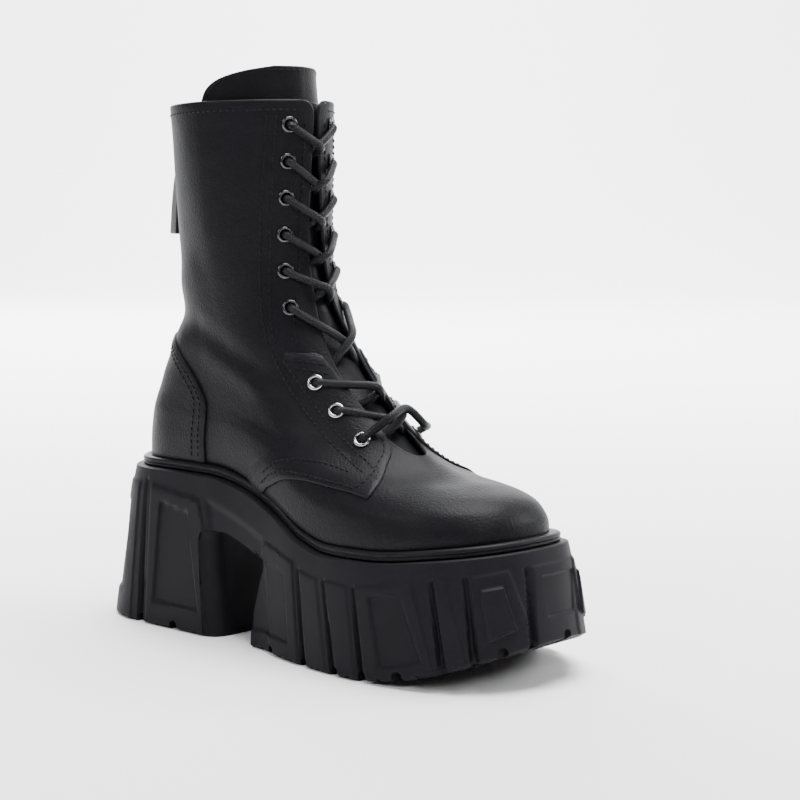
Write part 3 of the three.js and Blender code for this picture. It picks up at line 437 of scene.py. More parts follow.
def skin(row, degrees, lift=0.0):
    """Point on the leather, lifted off it by a distance."""
    row, degrees = np.broadcast_arrays(np.asarray(row, float), np.asarray(degrees, float))
    return upper_offset(row, degrees, -(relief(row, degrees) + lift))


def solve_place(height, inside, low_degrees, high_degrees):
    """Rows and degrees of points at heights where another test is met, by halving."""
    height = np.asarray(height, float)
    row = np.full(height.shape, COLLAR / 2)
    degrees = np.full(height.shape, (low_degrees + high_degrees) / 2)
    for _ in range(8):
        low, high = np.zeros_like(height), np.full_like(height, COLLAR)
        for _ in range(15):
            row = (low + high) / 2
            under = upper_point(row, degrees)[..., 2] < height
            low, high = np.where(under, row, low), np.where(under, high, row)
        low, high = np.full_like(height, low_degrees), np.full_like(height, high_degrees)
        for _ in range(15):
            degrees = (low + high) / 2
            more = inside(upper_point(row, degrees))
            low, high = np.where(more, degrees, low), np.where(more, high, degrees)
    return row, degrees


def front_place(height, sideways):
    """Row and degrees on the outside facing at a height and a distance from the middle."""
    sideways = np.asarray(sideways, float)
    return solve_place(height, lambda p: np.abs(p[..., 1]) > sideways, 95, 180)


def inside_place(height, along):
    """Row and degrees on the inside face at a height and a distance along the foot."""
    along = np.asarray(along, float)
    return solve_place(height, lambda p: p[..., 0] > along, 181, 359)


def eyelet_places():
    heights, spreads = [], []
    for count, top, pitch, spread, widening in (SHAFT_EYELETS, FOOT_EYELETS):
        for i in range(count):
            heights.append(top - i * pitch)
            spreads.append(spread + widening * i * pitch)
    return front_place(np.array(heights), np.array(spreads))


EYELET_ROWS, EYELET_DEGREES = eyelet_places()
ZIP_MIDDLE = ZIP.curve("x", "z")


def zip_place(height, aside):
    """Row and degrees beside the zip's middle line, a distance towards the toe."""
    height, aside = np.broadcast_arrays(np.asarray(height, float), np.asarray(aside, float))
    slope = (ZIP_MIDDLE(height + 1) - ZIP_MIDDLE(height - 1)) / 2
    lean = np.sqrt(1 + slope**2)
    level = np.minimum(height - aside * slope / lean, ZIP_TOP)
    row, degrees = inside_place(level, ZIP_MIDDLE(height) + aside / lean)
    return np.minimum(row, COLLAR - 0.02), degrees


# ------------------------------------------------------------------ meshes
def grid_faces(rows, columns, round_columns=False, round_rows=False):
    r = np.arange(rows if round_rows else rows - 1)[:, None]
    c = np.arange(columns if round_columns else columns - 1)[None, :]
    up, side = (r + 1) % rows, (c + 1) % columns
    corners = [r * columns + c, r * columns + side, up * columns + side, up * columns + c]
    return np.stack(corners, -1).reshape(-1, 4)


class Shape:
    """Points and faces gathered from several parts, with a finish number and marks for each."""

    def __init__(self):
        self.points, self.faces, self.finish, self.marks, self.count = [], [], [], {}, 0

    def add(self, points, faces, finish=0, **marks):
        points = np.asarray(points, float).reshape(-1, 3)
        self.points.append(points)
        for face in np.asarray(faces).tolist() if isinstance(faces, np.ndarray) else faces:
            self.faces.append([i + self.count for i in face])
        self.finish.extend([finish] * len(faces) if np.isscalar(finish) else list(finish))
        for name, values in marks.items():
            self.marks.setdefault(name, []).append((self.count, np.broadcast_to(values, len(points))))
        self.count += len(points)

    def join(self, other):
        self.add(np.concatenate(other.points), other.faces)

    def volume(self):
        points = np.concatenate(self.points)
        total = 0.0
        for face in self.faces:
            for i in range(1, len(face) - 1):
                total += np.dot(points[face[0]], np.cross(points[face[i]], points[face[i + 1]]))
        return total / 6

    def outward(self):
        if self.volume() < 0:
            self.faces = [face[::-1] for face in self.faces]
        return self

    def mesh(self, name):
        origin = SOLE_MIDDLE - 1000 * np.array([*frame_middle(), 0.0])
        mesh = bpy.data.meshes.new(name)
        mesh.from_pydata(((np.concatenate(self.points) - origin) / 1000).tolist(), [], self.faces)
        mesh.polygons.foreach_set("material_index", np.array(self.finish, np.int32))
        for mark, parts in self.marks.items():
            values = np.zeros(self.count, np.float32)
            for start, part in parts:
                values[start:start + len(part)] = part
            mesh.attributes.new(mark, "FLOAT", "POINT").data.foreach_set("value", values)
        return mesh


def frame_middle():
    low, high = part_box("sole")
    return (low.x + high.x) / 2, (low.y + high.y) / 2


def new_object(name, mesh):
    piece = bpy.data.objects.new(name, mesh)
    bpy.context.scene.collection.objects.link(piece)
    return piece


def add_piece(name, shape, finishes, stands_for=(), body="boot", crisp=None, cutters=()):
    """Makes a piece from a shape, cuts it, gives it its finishes and fixes it to a body of the frame."""
    piece = new_object(name, shape.mesh(name) if isinstance(shape, Shape) else shape)
    if cutters:
        cut(piece, cutters)
    mesh = piece.data
    mesh.materials.clear()
    for finish in finishes:
        mesh.materials.append(finish_named(finish))
    mesh.shade_smooth()
    if crisp:
        mesh.set_sharp_from_angle(angle=math.radians(crisp))
    mesh.update()
    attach(piece, body)
    if stands_for:
        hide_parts(*stands_for)
    return piece


def cut(piece, cutters):
    """Cuts closed shapes out of a closed piece."""
    helpers = []
    for index, cutter in enumerate(cutters):
        helper = new_object(f"{piece.name}_cutter_{index}", cutter.outward().mesh("cutter"))
        modifier = piece.modifiers.new("cut", "BOOLEAN")
        modifier.operation, modifier.solver, modifier.object = "DIFFERENCE", "MANIFOLD", helper
        helpers.append(helper)
    bpy.context.view_layer.update()
    before = len(piece.data.vertices)
    made = bpy.data.meshes.new_from_object(piece.evaluated_get(bpy.context.evaluated_depsgraph_get()))
    if len(made.vertices) == before or not made.vertices:
        raise RuntimeError(f"{piece.name} could not be cut")
    piece.modifiers.clear()
    old, piece.data = piece.data, made
    bpy.data.meshes.remove(old)
    for helper in helpers:
        mesh = helper.data
        bpy.data.objects.remove(helper)
        bpy.data.meshes.remove(mesh)


def capped(rings):
    """Closed shape through rings of points, with a flat cap on its first and last."""
    rings = np.asarray(rings, float)
    rows, columns = rings.shape[:2]
    last = (rows - 1) * columns
    shape = Shape()
    shape.add(rings, grid_faces(rows, columns, True).tolist()
              + [list(range(columns))[::-1], [last + i for i in range(columns)]])
    return shape


def prism(sides):
    """Closed prism right across the boot through corners of (x, z)."""
    return capped([[(x, y, z) for x, z in sides] for y in (-80, 80)])


def half_circle(count=9):
    return [(math.cos(a), math.sin(a)) for a in np.linspace(0, math.pi, count)]


def whole_circle(count):
    return [(math.cos(a), math.sin(a)) for a in np.linspace(0, 2 * math.pi, count, endpoint=False)]


def tube(shape, path, radius, sides=16, flat=1.0, up=None):
    """Round cord along a path, with its turn and length marked."""
    path = np.asarray(path, float)
    forward = unit(np.gradient(path, axis=0))
    side = np.zeros_like(path)
    first = np.cross(forward[0], [0, 0, 1.0] if up is None else up)
    side[0] = unit(first if np.linalg.norm(first) > 1e-3 else np.cross(forward[0], [0, 1.0, 0]))
    for k in range(1, len(path)):
        side[k] = unit(side[k - 1] - forward[k] * (side[k - 1] @ forward[k]))
    other = np.cross(forward, side)
    turn = np.arange(sides) * 2 * np.pi / sides
    ring = np.cos(turn)[None, :, None] * side[:, None] + flat * np.sin(turn)[None, :, None] * other[:, None]
    cord = capped(path[:, None] + radius * ring)
    shape.add(cord.points[0], cord.faces, lace_turn=np.tile(turn / (2 * np.pi), len(path)),
              lace_length=np.repeat(lengths(path), sides))


def lathe(shape, profile, at, normal, sides=40):
    """Ring of a profile of (radius, height) turned round a normal."""
    normal = unit(np.asarray(normal, float))
    side = unit(np.cross(normal, [0, 0, 1.0]))
    other = np.cross(normal, side)
    turn = np.arange(sides) * 2 * np.pi / sides
    ring = np.cos(turn)[:, None] * side + np.sin(turn)[:, None] * other
    points = np.stack([at + r * ring + h * normal for r, h in profile])
    shape.add(points, grid_faces(len(profile), sides, True, True))


# ------------------------------------------------------------------ finishes
class Value:
    """One socket of a finish, so that sums on it read as sums."""

    def __init__(self, finish, socket):
        self.finish, self.socket = finish, socket

    def maths(self, operation, *terms):
        return self.finish.node("ShaderNodeMath", {"operation": operation}, dict(enumerate(terms)))

    def __add__(self, other):
        return self.maths("ADD", self, other)

    def __radd__(self, other):
        return self.maths("ADD", other, self)

    def __sub__(self, other):
        return self.maths("SUBTRACT", self, other)

    def __rsub__(self, other):
        return self.maths("SUBTRACT", other, self)

    def __mul__(self, other):
        return self.maths("MULTIPLY", self, other)

    def __rmul__(self, other):
        return self.maths("MULTIPLY", other, self)

    def __truediv__(self, other):
        return self.maths("DIVIDE", self, other)

    def sine(self):
        return self.maths("SINE", self)

    def higher(self, other):
        return self.maths("MAXIMUM", self, other)

    def zigzag(self, size):
        return self.maths("PINGPONG", self, size)


class Finish:
    """A material made of nodes."""

    def __init__(self, name):
        self.material = bpy.data.materials.new(name)
        self.material.use_nodes = True
        self.tree = self.material.node_tree
        self.tree.nodes.clear()
        self.place = self.node("ShaderNodeTexCoord", output="Object")

    def node(self, kind, settings=None, inputs=None, output=0):
        """Adds a node: its settings first, then the values or links of its sockets. Returns an output."""
        node = self.tree.nodes.new(kind)
        for name, value in (settings or {}).items():
            setattr(node, name, value)
        for name, value in (inputs or {}).items():
            if isinstance(value, Value):
                self.tree.links.new(value.socket, node.inputs[name])
            else:
                node.inputs[name].default_value = value
        return Value(self, node.outputs[output]) if len(node.outputs) else node

    def noise(self, scale, detail=3.0, roughness=0.55):
        return self.node("ShaderNodeTexNoise", {}, {
            "Vector": self.place, "Scale": scale, "Detail": detail, "Roughness": roughness})

    def cells(self, scale, smoothness):
        return self.node("ShaderNodeTexVoronoi", {"feature": "SMOOTH_F1"}, {
            "Vector": self.place, "Scale": scale, "Smoothness": smoothness})

    def step(self, value, low, high, start=0.0, end=1.0):
        return self.node("ShaderNodeMapRange", {"interpolation_type": "SMOOTHSTEP"}, {
            "Value": value, "From Min": low, "From Max": high, "To Min": start, "To Max": end})

    def blend(self, share, first, second):
        return self.node("ShaderNodeMix", {"data_type": "RGBA"}, {0: share, 6: first, 7: second}, 2)

    def mark(self, name):
        return self.node("ShaderNodeAttribute", {"attribute_name": name}, output="Fac")

    def part(self, axis):
        return self.node("ShaderNodeSeparateXYZ", {}, {"Vector": self.place}, axis)

    def bump(self, height, distance, strength=1.0, over=None):
        inputs = {"Height": height, "Distance": distance, "Strength": strength}
        if over is not None:
            inputs["Normal"] = over
        return self.node("ShaderNodeBump", {}, inputs)

    def surface(self, **sockets):
        names = {key: key.replace("_", " ") for key in sockets}
        shader = self.node("ShaderNodeBsdfPrincipled", {}, {names[k]: v for k, v in sockets.items()})
        self.node("ShaderNodeOutputMaterial", {}, {"Surface": shader})
        return self.material


FINISHES = {}


def finish_named(name):
    """A finish of the boot, made the first time that a piece asks for it."""
    if name not in FINISHES:
        FINISHES[name] = FINISH_MAKERS[name]()
    return FINISHES[name]


def shade(colour, factor):
    return (colour[0] * factor, colour[1] * factor, colour[2] * factor, 1.0)


def make_black_leather():
    look = bpy.context.scene.boot_leather
    f = Finish("black_leather")
    grain = look.grain / 1000
    coarse = f.cells(0.9 / grain, 0.45)
    fine = f.cells(2.1 / grain, 0.3)
    pores = f.noise(1.6 / grain, 4)
    drift = f.noise(38, 3)
    soft = f.noise(150, 2)
    height = f.step(coarse, 0.05, 0.75) * 0.7 + fine * 0.25 + pores * 0.25
    # The marked rolled and turned edges get a painted highlight: their colour is lifted, and they are a little
    # glossier.
    edge_highlight = f.mark("edge")
    patches = f.step(drift * 0.6 + pores * 0.4, 0.3, 0.7)
    tone = f.blend(patches, shade(look.colour, 0.82), shade(look.colour, 1.2))
    tone = f.blend(f.step(1 - coarse, 0.72, 1.0) * 0.35, tone, shade(look.colour, 1.75))
    tone = f.blend(edge_highlight * 0.55, tone, shade(look.colour, 2.4))
    rough = look.roughness + (drift - 0.5) * 0.12 + (pores - 0.5) * 0.16 - edge_highlight * 0.1
    waves = f.bump(soft + drift * 1.5, 0.0006, 0.14)
    normal = f.bump(height, look.grain_depth / 1000, 0.8, waves)
    return f.surface(Base_Color=tone, Roughness=rough, Normal=normal, Specular_IOR_Level=0.11,
                     Coat_Weight=0.012 + (drift - 0.5) * 0.015, Coat_Roughness=0.25)


def make_sole_rubber():
    look = bpy.context.scene.boot_sole
    f = Finish("sole_rubber")
    speck = f.noise(1400, 3)
    mottle = f.noise(60, 4)
    flow = f.noise(16, 2)
    low = f.step(f.part("Z"), 0.0, 0.018, 1.0, 0.0)
    scuff = f.step(f.noise(420, 5, 0.7), 0.56, 0.7) * low
    patches = f.step(mottle * 0.7 + speck * 0.3, 0.3, 0.7)
    tone = f.blend(patches, shade(look.colour, 0.86), shade(look.colour, 1.16))
    tone = f.blend(scuff * 0.5, tone, shade(look.colour, 2.6))
    rough = look.roughness + (mottle - 0.5) * 0.16 + (speck - 0.5) * 0.1 + scuff * 0.12
    normal = f.bump(speck * 0.6 + flow * 2.0, 0.00012, 0.7)
    return f.surface(Base_Color=tone, Roughness=rough, Normal=normal, Specular_IOR_Level=0.11)


def make_welt_rubber():
    look = bpy.context.scene.boot_sole
    f = Finish("welt_rubber")
    speck = f.noise(1100, 3)
    mottle = f.noise(70, 3)
    tone = f.blend(f.step(mottle, 0.3, 0.7), shade(look.colour, 0.8), shade(look.colour, 1.15))
    rough = look.roughness - 0.12 + (mottle - 0.5) * 0.16 + (speck - 0.5) * 0.1
    return f.surface(Base_Color=tone, Roughness=rough, Normal=f.bump(speck, 0.0001, 0.7),
                     Specular_IOR_Level=0.12)


def weave(across, up, pitch):
    """Height of a plain weave's threads, from two directions."""
    u, v = across / pitch, up / pitch
    warp = (u * (2 * math.pi)).sine() * 0.5 + 0.5
    weft = (v * (2 * math.pi)).sine() * 0.5 + 0.5
    cross = ((u + v) * math.pi).sine() * 0.5 + 0.5
    return warp * cross + weft * (1 - cross)


def make_lining_cloth():
    look = bpy.context.scene.boot_leather
    f = Finish("lining_cloth")
    threads = weave(f.part("X") + f.part("Y"), f.part("Z") + f.part("Y") * 0.3, 0.0011)
    fuzz = f.noise(900, 4)
    tone = f.blend(threads * 0.6 + fuzz * 0.4, shade(look.lining, 0.6), shade(look.lining, 1.35))
    normal = f.bump(threads + fuzz * 0.4, 0.00025, 0.7)
    return f.surface(Base_Color=tone, Roughness=0.8 + fuzz * 0.15, Normal=normal, Sheen_Weight=0.25,
                     Sheen_Roughness=0.5)


def make_thread():
    look = bpy.context.scene.boot_stitches
    f = Finish("thread")
    ply = f.noise(2600, 2)
    tone = f.blend(ply, shade(look.colour, 0.7), shade(look.colour, 1.5))
    return f.surface(Base_Color=tone, Roughness=0.4 + ply * 0.25, Normal=f.bump(ply, 0.0001, 0.6),
                     Specular_IOR_Level=0.14)


# Near-black finish of the flat discs at the stitch holes: painted shade of the holes, which have no opening.
def make_painted_hole_shade():
    f = Finish("painted_hole_shade")
    grit = f.noise(2000, 2)
    tone = f.blend(grit, (0.0012, 0.0012, 0.0014, 1), (0.003, 0.003, 0.0034, 1))
    return f.surface(Base_Color=tone, Roughness=0.85 + grit * 0.1, Specular_IOR_Level=0.15)


def plated_metal(name, colour, roughness, brushed=500.0):
    f = Finish(name)
    scratch = f.noise(brushed, 5, 0.7)
    cloud = f.noise(120, 3)
    tone = f.blend(f.step(cloud, 0.3, 0.7), shade(colour, 0.86), shade(colour, 1.06))
    rough = roughness + (scratch - 0.5) * 0.14 + (cloud - 0.5) * 0.08
    return f.surface(Base_Color=tone, Metallic=1.0, Roughness=rough, Normal=f.bump(scratch, 0.00003, 0.5))


# The foot eyelets are the same metal as the shaft's. Their lighter nickel colour is painted light, the light they
# catch facing up.
def make_lit_eyelet_metal():
    return plated_metal("lit_eyelet_metal", bpy.context.scene.boot_metal.nickel, 0.2)


def make_dark_nickel():
    return plated_metal("dark_nickel", bpy.context.scene.boot_metal.gunmetal, 0.27)


def make_zip_nickel():
    return plated_metal("zip_nickel", bpy.context.scene.boot_metal.nickel, 0.26, 900.0)


def make_zip_cloth():
    look = bpy.context.scene.boot_zip
    f = Finish("zip_cloth")
    along, across = f.mark("tape_up"), f.mark("tape_across")
    rib = ((along + across.zigzag(0.9) * 1.4) * (2 * math.pi / 1.15)).sine()
    fuzz = f.noise(1500, 3)
    tone = f.blend(rib * 0.35 + 0.4 + fuzz * 0.2, shade(look.tape, 0.5), shade(look.tape, 1.7))
    normal = f.bump(rib + fuzz * 0.5, 0.00018, 0.8)
    return f.surface(Base_Color=tone, Roughness=0.75 + fuzz * 0.15, Normal=normal)


def make_lace_cord():
    look = bpy.context.scene.boot_lace
    f = Finish("lace_cord")
    turn, length = f.mark("lace_turn") * 8, f.mark("lace_length") / 1.5
    one = (turn + length) * (2 * math.pi)
    two = (turn - length) * (2 * math.pi)
    braid = one.sine().higher(two.sine())
    fuzz = f.noise(1800, 3)
    tone = f.blend(braid * 0.4 + 0.3 + fuzz * 0.3, shade(look.colour, 0.5), shade(look.colour, 1.7))
    return f.surface(Base_Color=tone, Roughness=look.roughness + (fuzz - 0.5) * 0.2,
                     Normal=f.bump(braid * 0.8 + fuzz * 0.4, 0.00022, 0.7), Coat_Weight=0.02 + fuzz * 0.04,
                     Coat_Roughness=0.25, Specular_IOR_Level=0.17)


FINISH_MAKERS = {
    "black_leather": make_black_leather, "sole_rubber": make_sole_rubber, "welt_rubber": make_welt_rubber,
    "lining_cloth": make_lining_cloth, "thread": make_thread, "painted_hole_shade": make_painted_hole_shade,
    "lit_eyelet_metal": make_lit_eyelet_metal, "dark_nickel": make_dark_nickel, "zip_nickel": make_zip_nickel,
    "zip_cloth": make_zip_cloth, "lace_cord": make_lace_cord,
}


# ------------------------------------------------------------------ settings
def colour_setting(name, text, default):
    return bpy.props.FloatVectorProperty(name=name, description=text, default=default, size=3, min=0, max=1,
                                         subtype="COLOR")


def size_setting(name, text, default, low, high):
    """A small size, in millimetres."""
    return bpy.props.FloatProperty(name=name, description=text + ", in millimetres", default=default, min=low,
                                   max=high)


def matt_setting(text, default):
    return bpy.props.FloatProperty(name="Roughness", description=text, default=default, min=0, max=1,
                                   subtype="FACTOR")


class LeatherSettings(bpy.types.PropertyGroup):
    colour: colour_setting("Leather", "Colour of the upper's leather", (0.0037, 0.0035, 0.0054))
    lining: colour_setting("Lining", "Colour of the cloth inside", (0.013, 0.0128, 0.0145))
    roughness: matt_setting("How matt the leather is", 0.5)
    grain: size_setting("Grain", "Size of the leather's pebbles", 1.0, 0.2, 5)
    grain_depth: size_setting("Grain depth", "Height of the pebbles", 0.15, 0, 1)
    overlay: size_setting("Overlay", "Thickness of the quarters and counter", 1.1, 0.4, 3)


class SoleSettings(bpy.types.PropertyGroup):
    colour: colour_setting("Rubber", "Colour of the platform", (0.0062, 0.0058, 0.0082))
    roughness: matt_setting("How matt the rubber is", 0.58)
    groove_depth: size_setting("Groove depth", "Depth of the wall's grooves at the tread", 3.0, 0.5, 6)
    slot_width: size_setting("Slot width", "Width of the slots across the tread", 5.2, 2, 10)
    slot_height: size_setting("Slot height", "Height of the slots across the tread", 4.6, 1, 10)


class StitchSettings(bpy.types.PropertyGroup):
    colour: colour_setting("Thread", "Colour of the thread", (0.0036, 0.0035, 0.0046))
    length: size_setting("Stitch", "Length of one stitch", 2.3, 0.8, 6)
    pitch: size_setting("Pitch", "Distance from one stitch to the next", 3.1, 1, 8)
    thickness: size_setting("Thread", "Thickness of the thread", 0.72, 0.2, 2)


class LaceSettings(bpy.types.PropertyGroup):
    colour: colour_setting("Lace", "Colour of the lace", (0.0042, 0.0042, 0.005))
    thickness: size_setting("Thickness", "Thickness of the round lace", 3.9, 1, 8)
    roughness: matt_setting("How matt the waxed lace is", 0.42)


class MetalSettings(bpy.types.PropertyGroup):
    # Also paints the foot eyelets lighter than the shaft's, as painted light; the zip's nickel is its own colour.
    nickel: colour_setting("Nickel", "Colour of the bright metal", (0.42, 0.415, 0.42))
    gunmetal: colour_setting("Gunmetal", "Colour of the shaft's eyelets", (0.075, 0.074, 0.08))


class ZipSettings(bpy.types.PropertyGroup):
    tape: colour_setting("Tape", "Colour of the zip's cloth", (0.011, 0.0108, 0.012))
    pitch: size_setting("Tooth pitch", "Distance between teeth of one side", 2.5, 1, 6)


class StageSettings(bpy.types.PropertyGroup):
    floor: colour_setting("Floor", "Colour of the floor", (0.95, 0.95, 0.955))
    light: bpy.props.FloatProperty(name="Light", description="Strength of the lamps", default=1.0, min=0,
                                   max=10)
    lens: bpy.props.FloatProperty(name="Lens", description="Focal length", default=85.27, min=20, max=300,
                                  unit="CAMERA")


GROUPS = {
    "boot_leather": LeatherSettings, "boot_sole": SoleSettings, "boot_stitches": StitchSettings,
    "boot_lace": LaceSettings, "boot_metal": MetalSettings, "boot_zip": ZipSettings,
    "boot_stage": StageSettings,
}


# ------------------------------------------------------------------ sole
def wall_lines():
    """Lines down the wall that its mesh follows: degrees at the foot and at the rim."""
    lines = [(b, t) for t, b in zip(GROOVES.data["top"], GROOVES.data["bottom"])]
    for _, corners, _, _, twice in WALL_FORMS:
        sides = sorted(zip(corners, corners[1:] + corners[:1]), key=lambda s: -abs(s[0][1] - s[1][1]))[:2]
        for (d0, s0), (d1, s1) in sides:
            slope = (d1 - d0) / (s1 - s0)
            foot, top = d0 - slope * s0, d0 + slope * (1 - s0)
            lines.append((foot, top))
            if twice:
                lines.append((360 - foot, 360 - top))
    lines = sorted(((b % 360, t % 360) for b, t in lines), key=lambda line: sum(line))
    kept = [(0.0, 0.0)]
    for foot, top in lines:
        if min(foot - kept[-1][0], top - kept[-1][1]) > 0.9 and max(foot, top) < 359:
            kept.append((foot, top))
    return np.array(kept + [(360.0, 360.0)])


def wall_relief(degrees, share, speed, height):
    """How far the wall's panels, insets and grooves stand out of it, in millimetres."""
    total = np.zeros_like(degrees)
    for _, corners, lift, slope, twice in WALL_FORMS:
        for mirrored in (False, True) if twice else (False,):
            spots = [((360 - d) if mirrored else d, s) for d, s in corners]
            if mirrored:
                spots = spots[::-1]
            middle = np.mean([d for d, _ in spots])
            near = (degrees - middle + 180) % 360 - 180 + middle
            away = polygon_distance(near, share, spots, speed, height)
            total += lift * (1 - ease(-slope / 2, slope / 2, away))
    depth = bpy.context.scene.boot_sole.groove_depth
    carved = np.zeros_like(degrees)
    for top, bottom, reach, width in zip(*(GROOVES.data[c] for c in ("top", "bottom", "reach", "width"))):
        middle = mix(bottom, top, share)
        aside = np.abs((degrees - middle + 180) % 360 - 180) * speed
        half = mix(width * 0.55, width * 0.3, np.clip(share / reach, 0, 1))
        deep = mix(depth, depth * 0.45, ease(0.1, 1, share / reach))
        groove = (1 - ease(half - 0.9, half + 0.5, aside)) * (1 - ease(reach - 0.015, reach + 0.015, share))
        carved = np.maximum(carved, groove * deep)
        total = total * (1 - groove)
    return total - carved


def polygon_distance(degrees, share, corners, speed, height):
    """Distance to a form's edge, below zero inside it. It is convex and clockwise, seen from outside."""
    best = np.full(degrees.shape, -1e9)
    for (d0, s0), (d1, s1) in zip(corners, corners[1:] + corners[:1]):
        across, up = (d1 - d0) * speed, (s1 - s0) * height
        reach = np.sqrt(across**2 + up**2)
        away = ((degrees - d0) * speed * -up + (share - s0) * height * across) / reach
        best = np.maximum(best, away)
    return best


def arch_cutter():
    """The arch's opening, flared over the heel block so that its front corners are round."""
    half = np.concatenate([[0, 24, 26], np.arange(27.5, 43.5, 1.1), [46, 80]])
    rings = []
    for y in np.concatenate([-half[:0:-1], half]):
        ring = []
        for x, z in ARCH:
            width = np.interp(z, [0, 77], HEEL_HALVES)
            t = np.clip((abs(y) - width + ARCH_ROUND) / ARCH_ROUND, 0, 0.985)
            share = np.interp(x, [97, 101], [1.0, 0.0]) if z > 40 else 1.0
            flare = ARCH_ROUND * (1 - math.sqrt(1 - t**2)) * share
            ring.append((x - (flare if x < 102 else 0.0), y, z))
        rings.append(ring)
    return capped(rings)


def tread_cutters():
    """Slots, fine cuts and edge notches of the tread."""
    look = bpy.context.scene.boot_sole
    slots, sipes, notches = Shape(), Shape(), Shape()
    for x in TREAD_SLOTS:
        half, rise = look.slot_width / 2, look.slot_width * 0.4
        top = float(tread_z(x)) + look.slot_height - rise
        arch = [(x + half * c, top + rise * s) for c, s in half_circle()]
        slots.join(prism([(x - half, -3), (x + half, -3), *arch]))
    for x in SIPES:
        half, top = SIPE_SIZE[0], float(tread_z(x)) + SIPE_SIZE[1]
        sipes.join(prism([(x - half, -3), (x + half, -3), (x + half, top), (x - half, top)]))
    half, tall, rise = NOTCH_SIZE
    ring = [(-half, -4), (half, -4), *((half * c, tall + rise * s) for c, s in half_circle())]
    for degrees in TREAD_NOTCHES:
        here, away = tread(degrees), outward_of(tread, np.array(float(degrees)))
        side = np.array([-away[1], away[0], 0])
        low = float(tread_z(here[0]))
        notches.join(capped([[here + side * u + away * depth + np.array([0, 0, low + v]) for u, v in ring]
                             for depth in (-7, 6)]).outward())
    return [slots, sipes, notches]


def build_sole():
    columns, levels = 840, 68
    lines = wall_lines()
    at = lengths(wall_point(lines.mean(1), 0.5))
    spots = np.linspace(0, at[-1], columns, endpoint=False)
    foot, top = np.interp(spots, at, lines[:, 0]), np.interp(spots, at, lines[:, 1])
    share = np.linspace(0, 1, levels)[:, None]
    degrees = mix(foot, top, share)
    base = wall_point(degrees, share)
    near = 0.3
    speed = wall_point(degrees + near, share) - wall_point(degrees - near, share)
    speed = np.linalg.norm(speed, axis=-1) / (2 * near)
    height = base[-1, :, 2] - base[0, :, 2]
    out = unit(mix(outward_of(tread, degrees), outward_of(rim, degrees), share[..., None]))
    up_from_foot = share * height
    down_from_rim = (1 - share) * height
    swell = np.interp(share, [0, 1], [0.6, 0.7]) * np.clip(down_from_rim / 12, 0, 1)
    swell = swell - 1.8 * np.clip(1 - up_from_foot / 1.8, 0, 1) ** 2
    lift = wall_relief(degrees, share, speed, height) * ease(0, 1.5, down_from_rim)
    lift = np.where(up_from_foot < 1, np.minimum(lift, 0.2), lift)
    wall = base + out * (swell + lift)[..., None]
    wall[..., 2] -= RIM_DROP * ease(0.9, 1, share)
    edge = [base[-1] - out[-1] * inwards + np.array([0, 0, up - RIM_DROP]) for inwards, up in RIM_EDGE]
    rings = np.concatenate([wall, np.stack(edge)])
    count = len(rings)
    faces = grid_faces(count, columns, True).tolist()
    last = (count - 1) * columns
    for i in range(1, columns // 2):
        a, b, c, d = i, i + 1, columns - i - 1, columns - i
        if b == c:
            faces += [[d, b, a], [last + a, last + b, last + d]]
        else:
            faces += [[a, b, c, d][::-1], [last + a, last + b, last + c, last + d]]
    faces += [[0, 1, columns - 1][::-1], [last, last + 1, last + columns - 1]]
    shape = Shape()
    shape.add(rings, faces)
    shape.outward()
    return add_piece("platform", shape, ["sole_rubber"], ["sole"], crisp=38,
                     cutters=[arch_cutter(), *tread_cutters()])


def build_welt():
    columns = 320
    degrees = np.linspace(0, 360, columns, endpoint=False)
    outer = rim(degrees) - outward_of(rim, degrees) * WELT_INSET
    inner = upper_offset(0.55, degrees, 1.0)
    rings = []
    for share, height in WELT_PROFILE:
        ring = mix(outer, inner, share)
        ring[:, 2] = rim_z(ring[:, 0]) + height
        rings.append(ring)
    shape = Shape()
    shape.add(np.stack(rings), grid_faces(len(rings), columns, True, True))
    return add_piece("welt_strip", shape.outward(), ["welt_rubber"], ["welt"])


def build_footbed():
    columns, steps = 160, 22
    degrees = np.linspace(0, 360, columns, endpoint=False)
    outer = upper_offset(0.05, degrees, WALL + 0.5)
    shape = Shape()
    rings = []
    for step in np.linspace(1, 0, steps):
        ring = outer * np.array([1, step, 1])
        x, y = ring[:, 0], ring[:, 1]
        cup = 3.2 * np.clip((step - 0.55) / 0.45, 0, 1) ** 2 * (1 - ease(150, 210, x))
        pad = 1.2 * np.exp(-(((x - 122) / 26) ** 2 + ((y - 16) / 14) ** 2))
        ring[:, 2] = rim_z(x) + 4.4 + cup + pad
        rings.append(ring)
    under = outer.copy()
    under[:, 2] = rim_z(under[:, 0]) + 1
    rings.insert(0, under)
    shape.add(np.stack(rings), grid_faces(len(rings), columns, True))
    return add_piece("footbed", shape, ["lining_cloth"], ["insole"])


# ------------------------------------------------------------------ upper
def corner_round(row):
    """Rounds the facings' top corners by widening the throat just under the collar."""
    t = np.clip(1 - (COLLAR - row) * ROW_HEIGHT / CORNER, 0, 0.995)
    return CORNER * (1 - np.sqrt(1 - t**2))


def throat_half(row):
    return THROAT.curve("half", "row")(row) + corner_round(row)


def throat_rows(low, high):
    """Rows up the throat, closer together round its foot and its top corners."""
    foot = THROAT_FOOT + 0.4 * np.linspace(0, 1, 16, endpoint=False) ** 1.5
    top = COLLAR - 0.3 * np.linspace(1, 0, high) ** 1.5
    return np.concatenate([foot, np.linspace(THROAT_FOOT + 0.4, COLLAR - 0.32, low), top])


def throat_edge(side, depth, spacing=1.5):
    """Line along the throat's edge on one side, from its foot to the collar."""
    rows = throat_rows(150, 60)
    row, degrees = front_place(upper_point(rows, 180.0)[:, 2], throat_half(rows))
    turn = degrees if side < 0 else 360 - degrees
    row = np.minimum(row, COLLAR - 0.02)
    return along_polyline(upper_offset(row, turn, depth - relief(row, turn)), spacing)


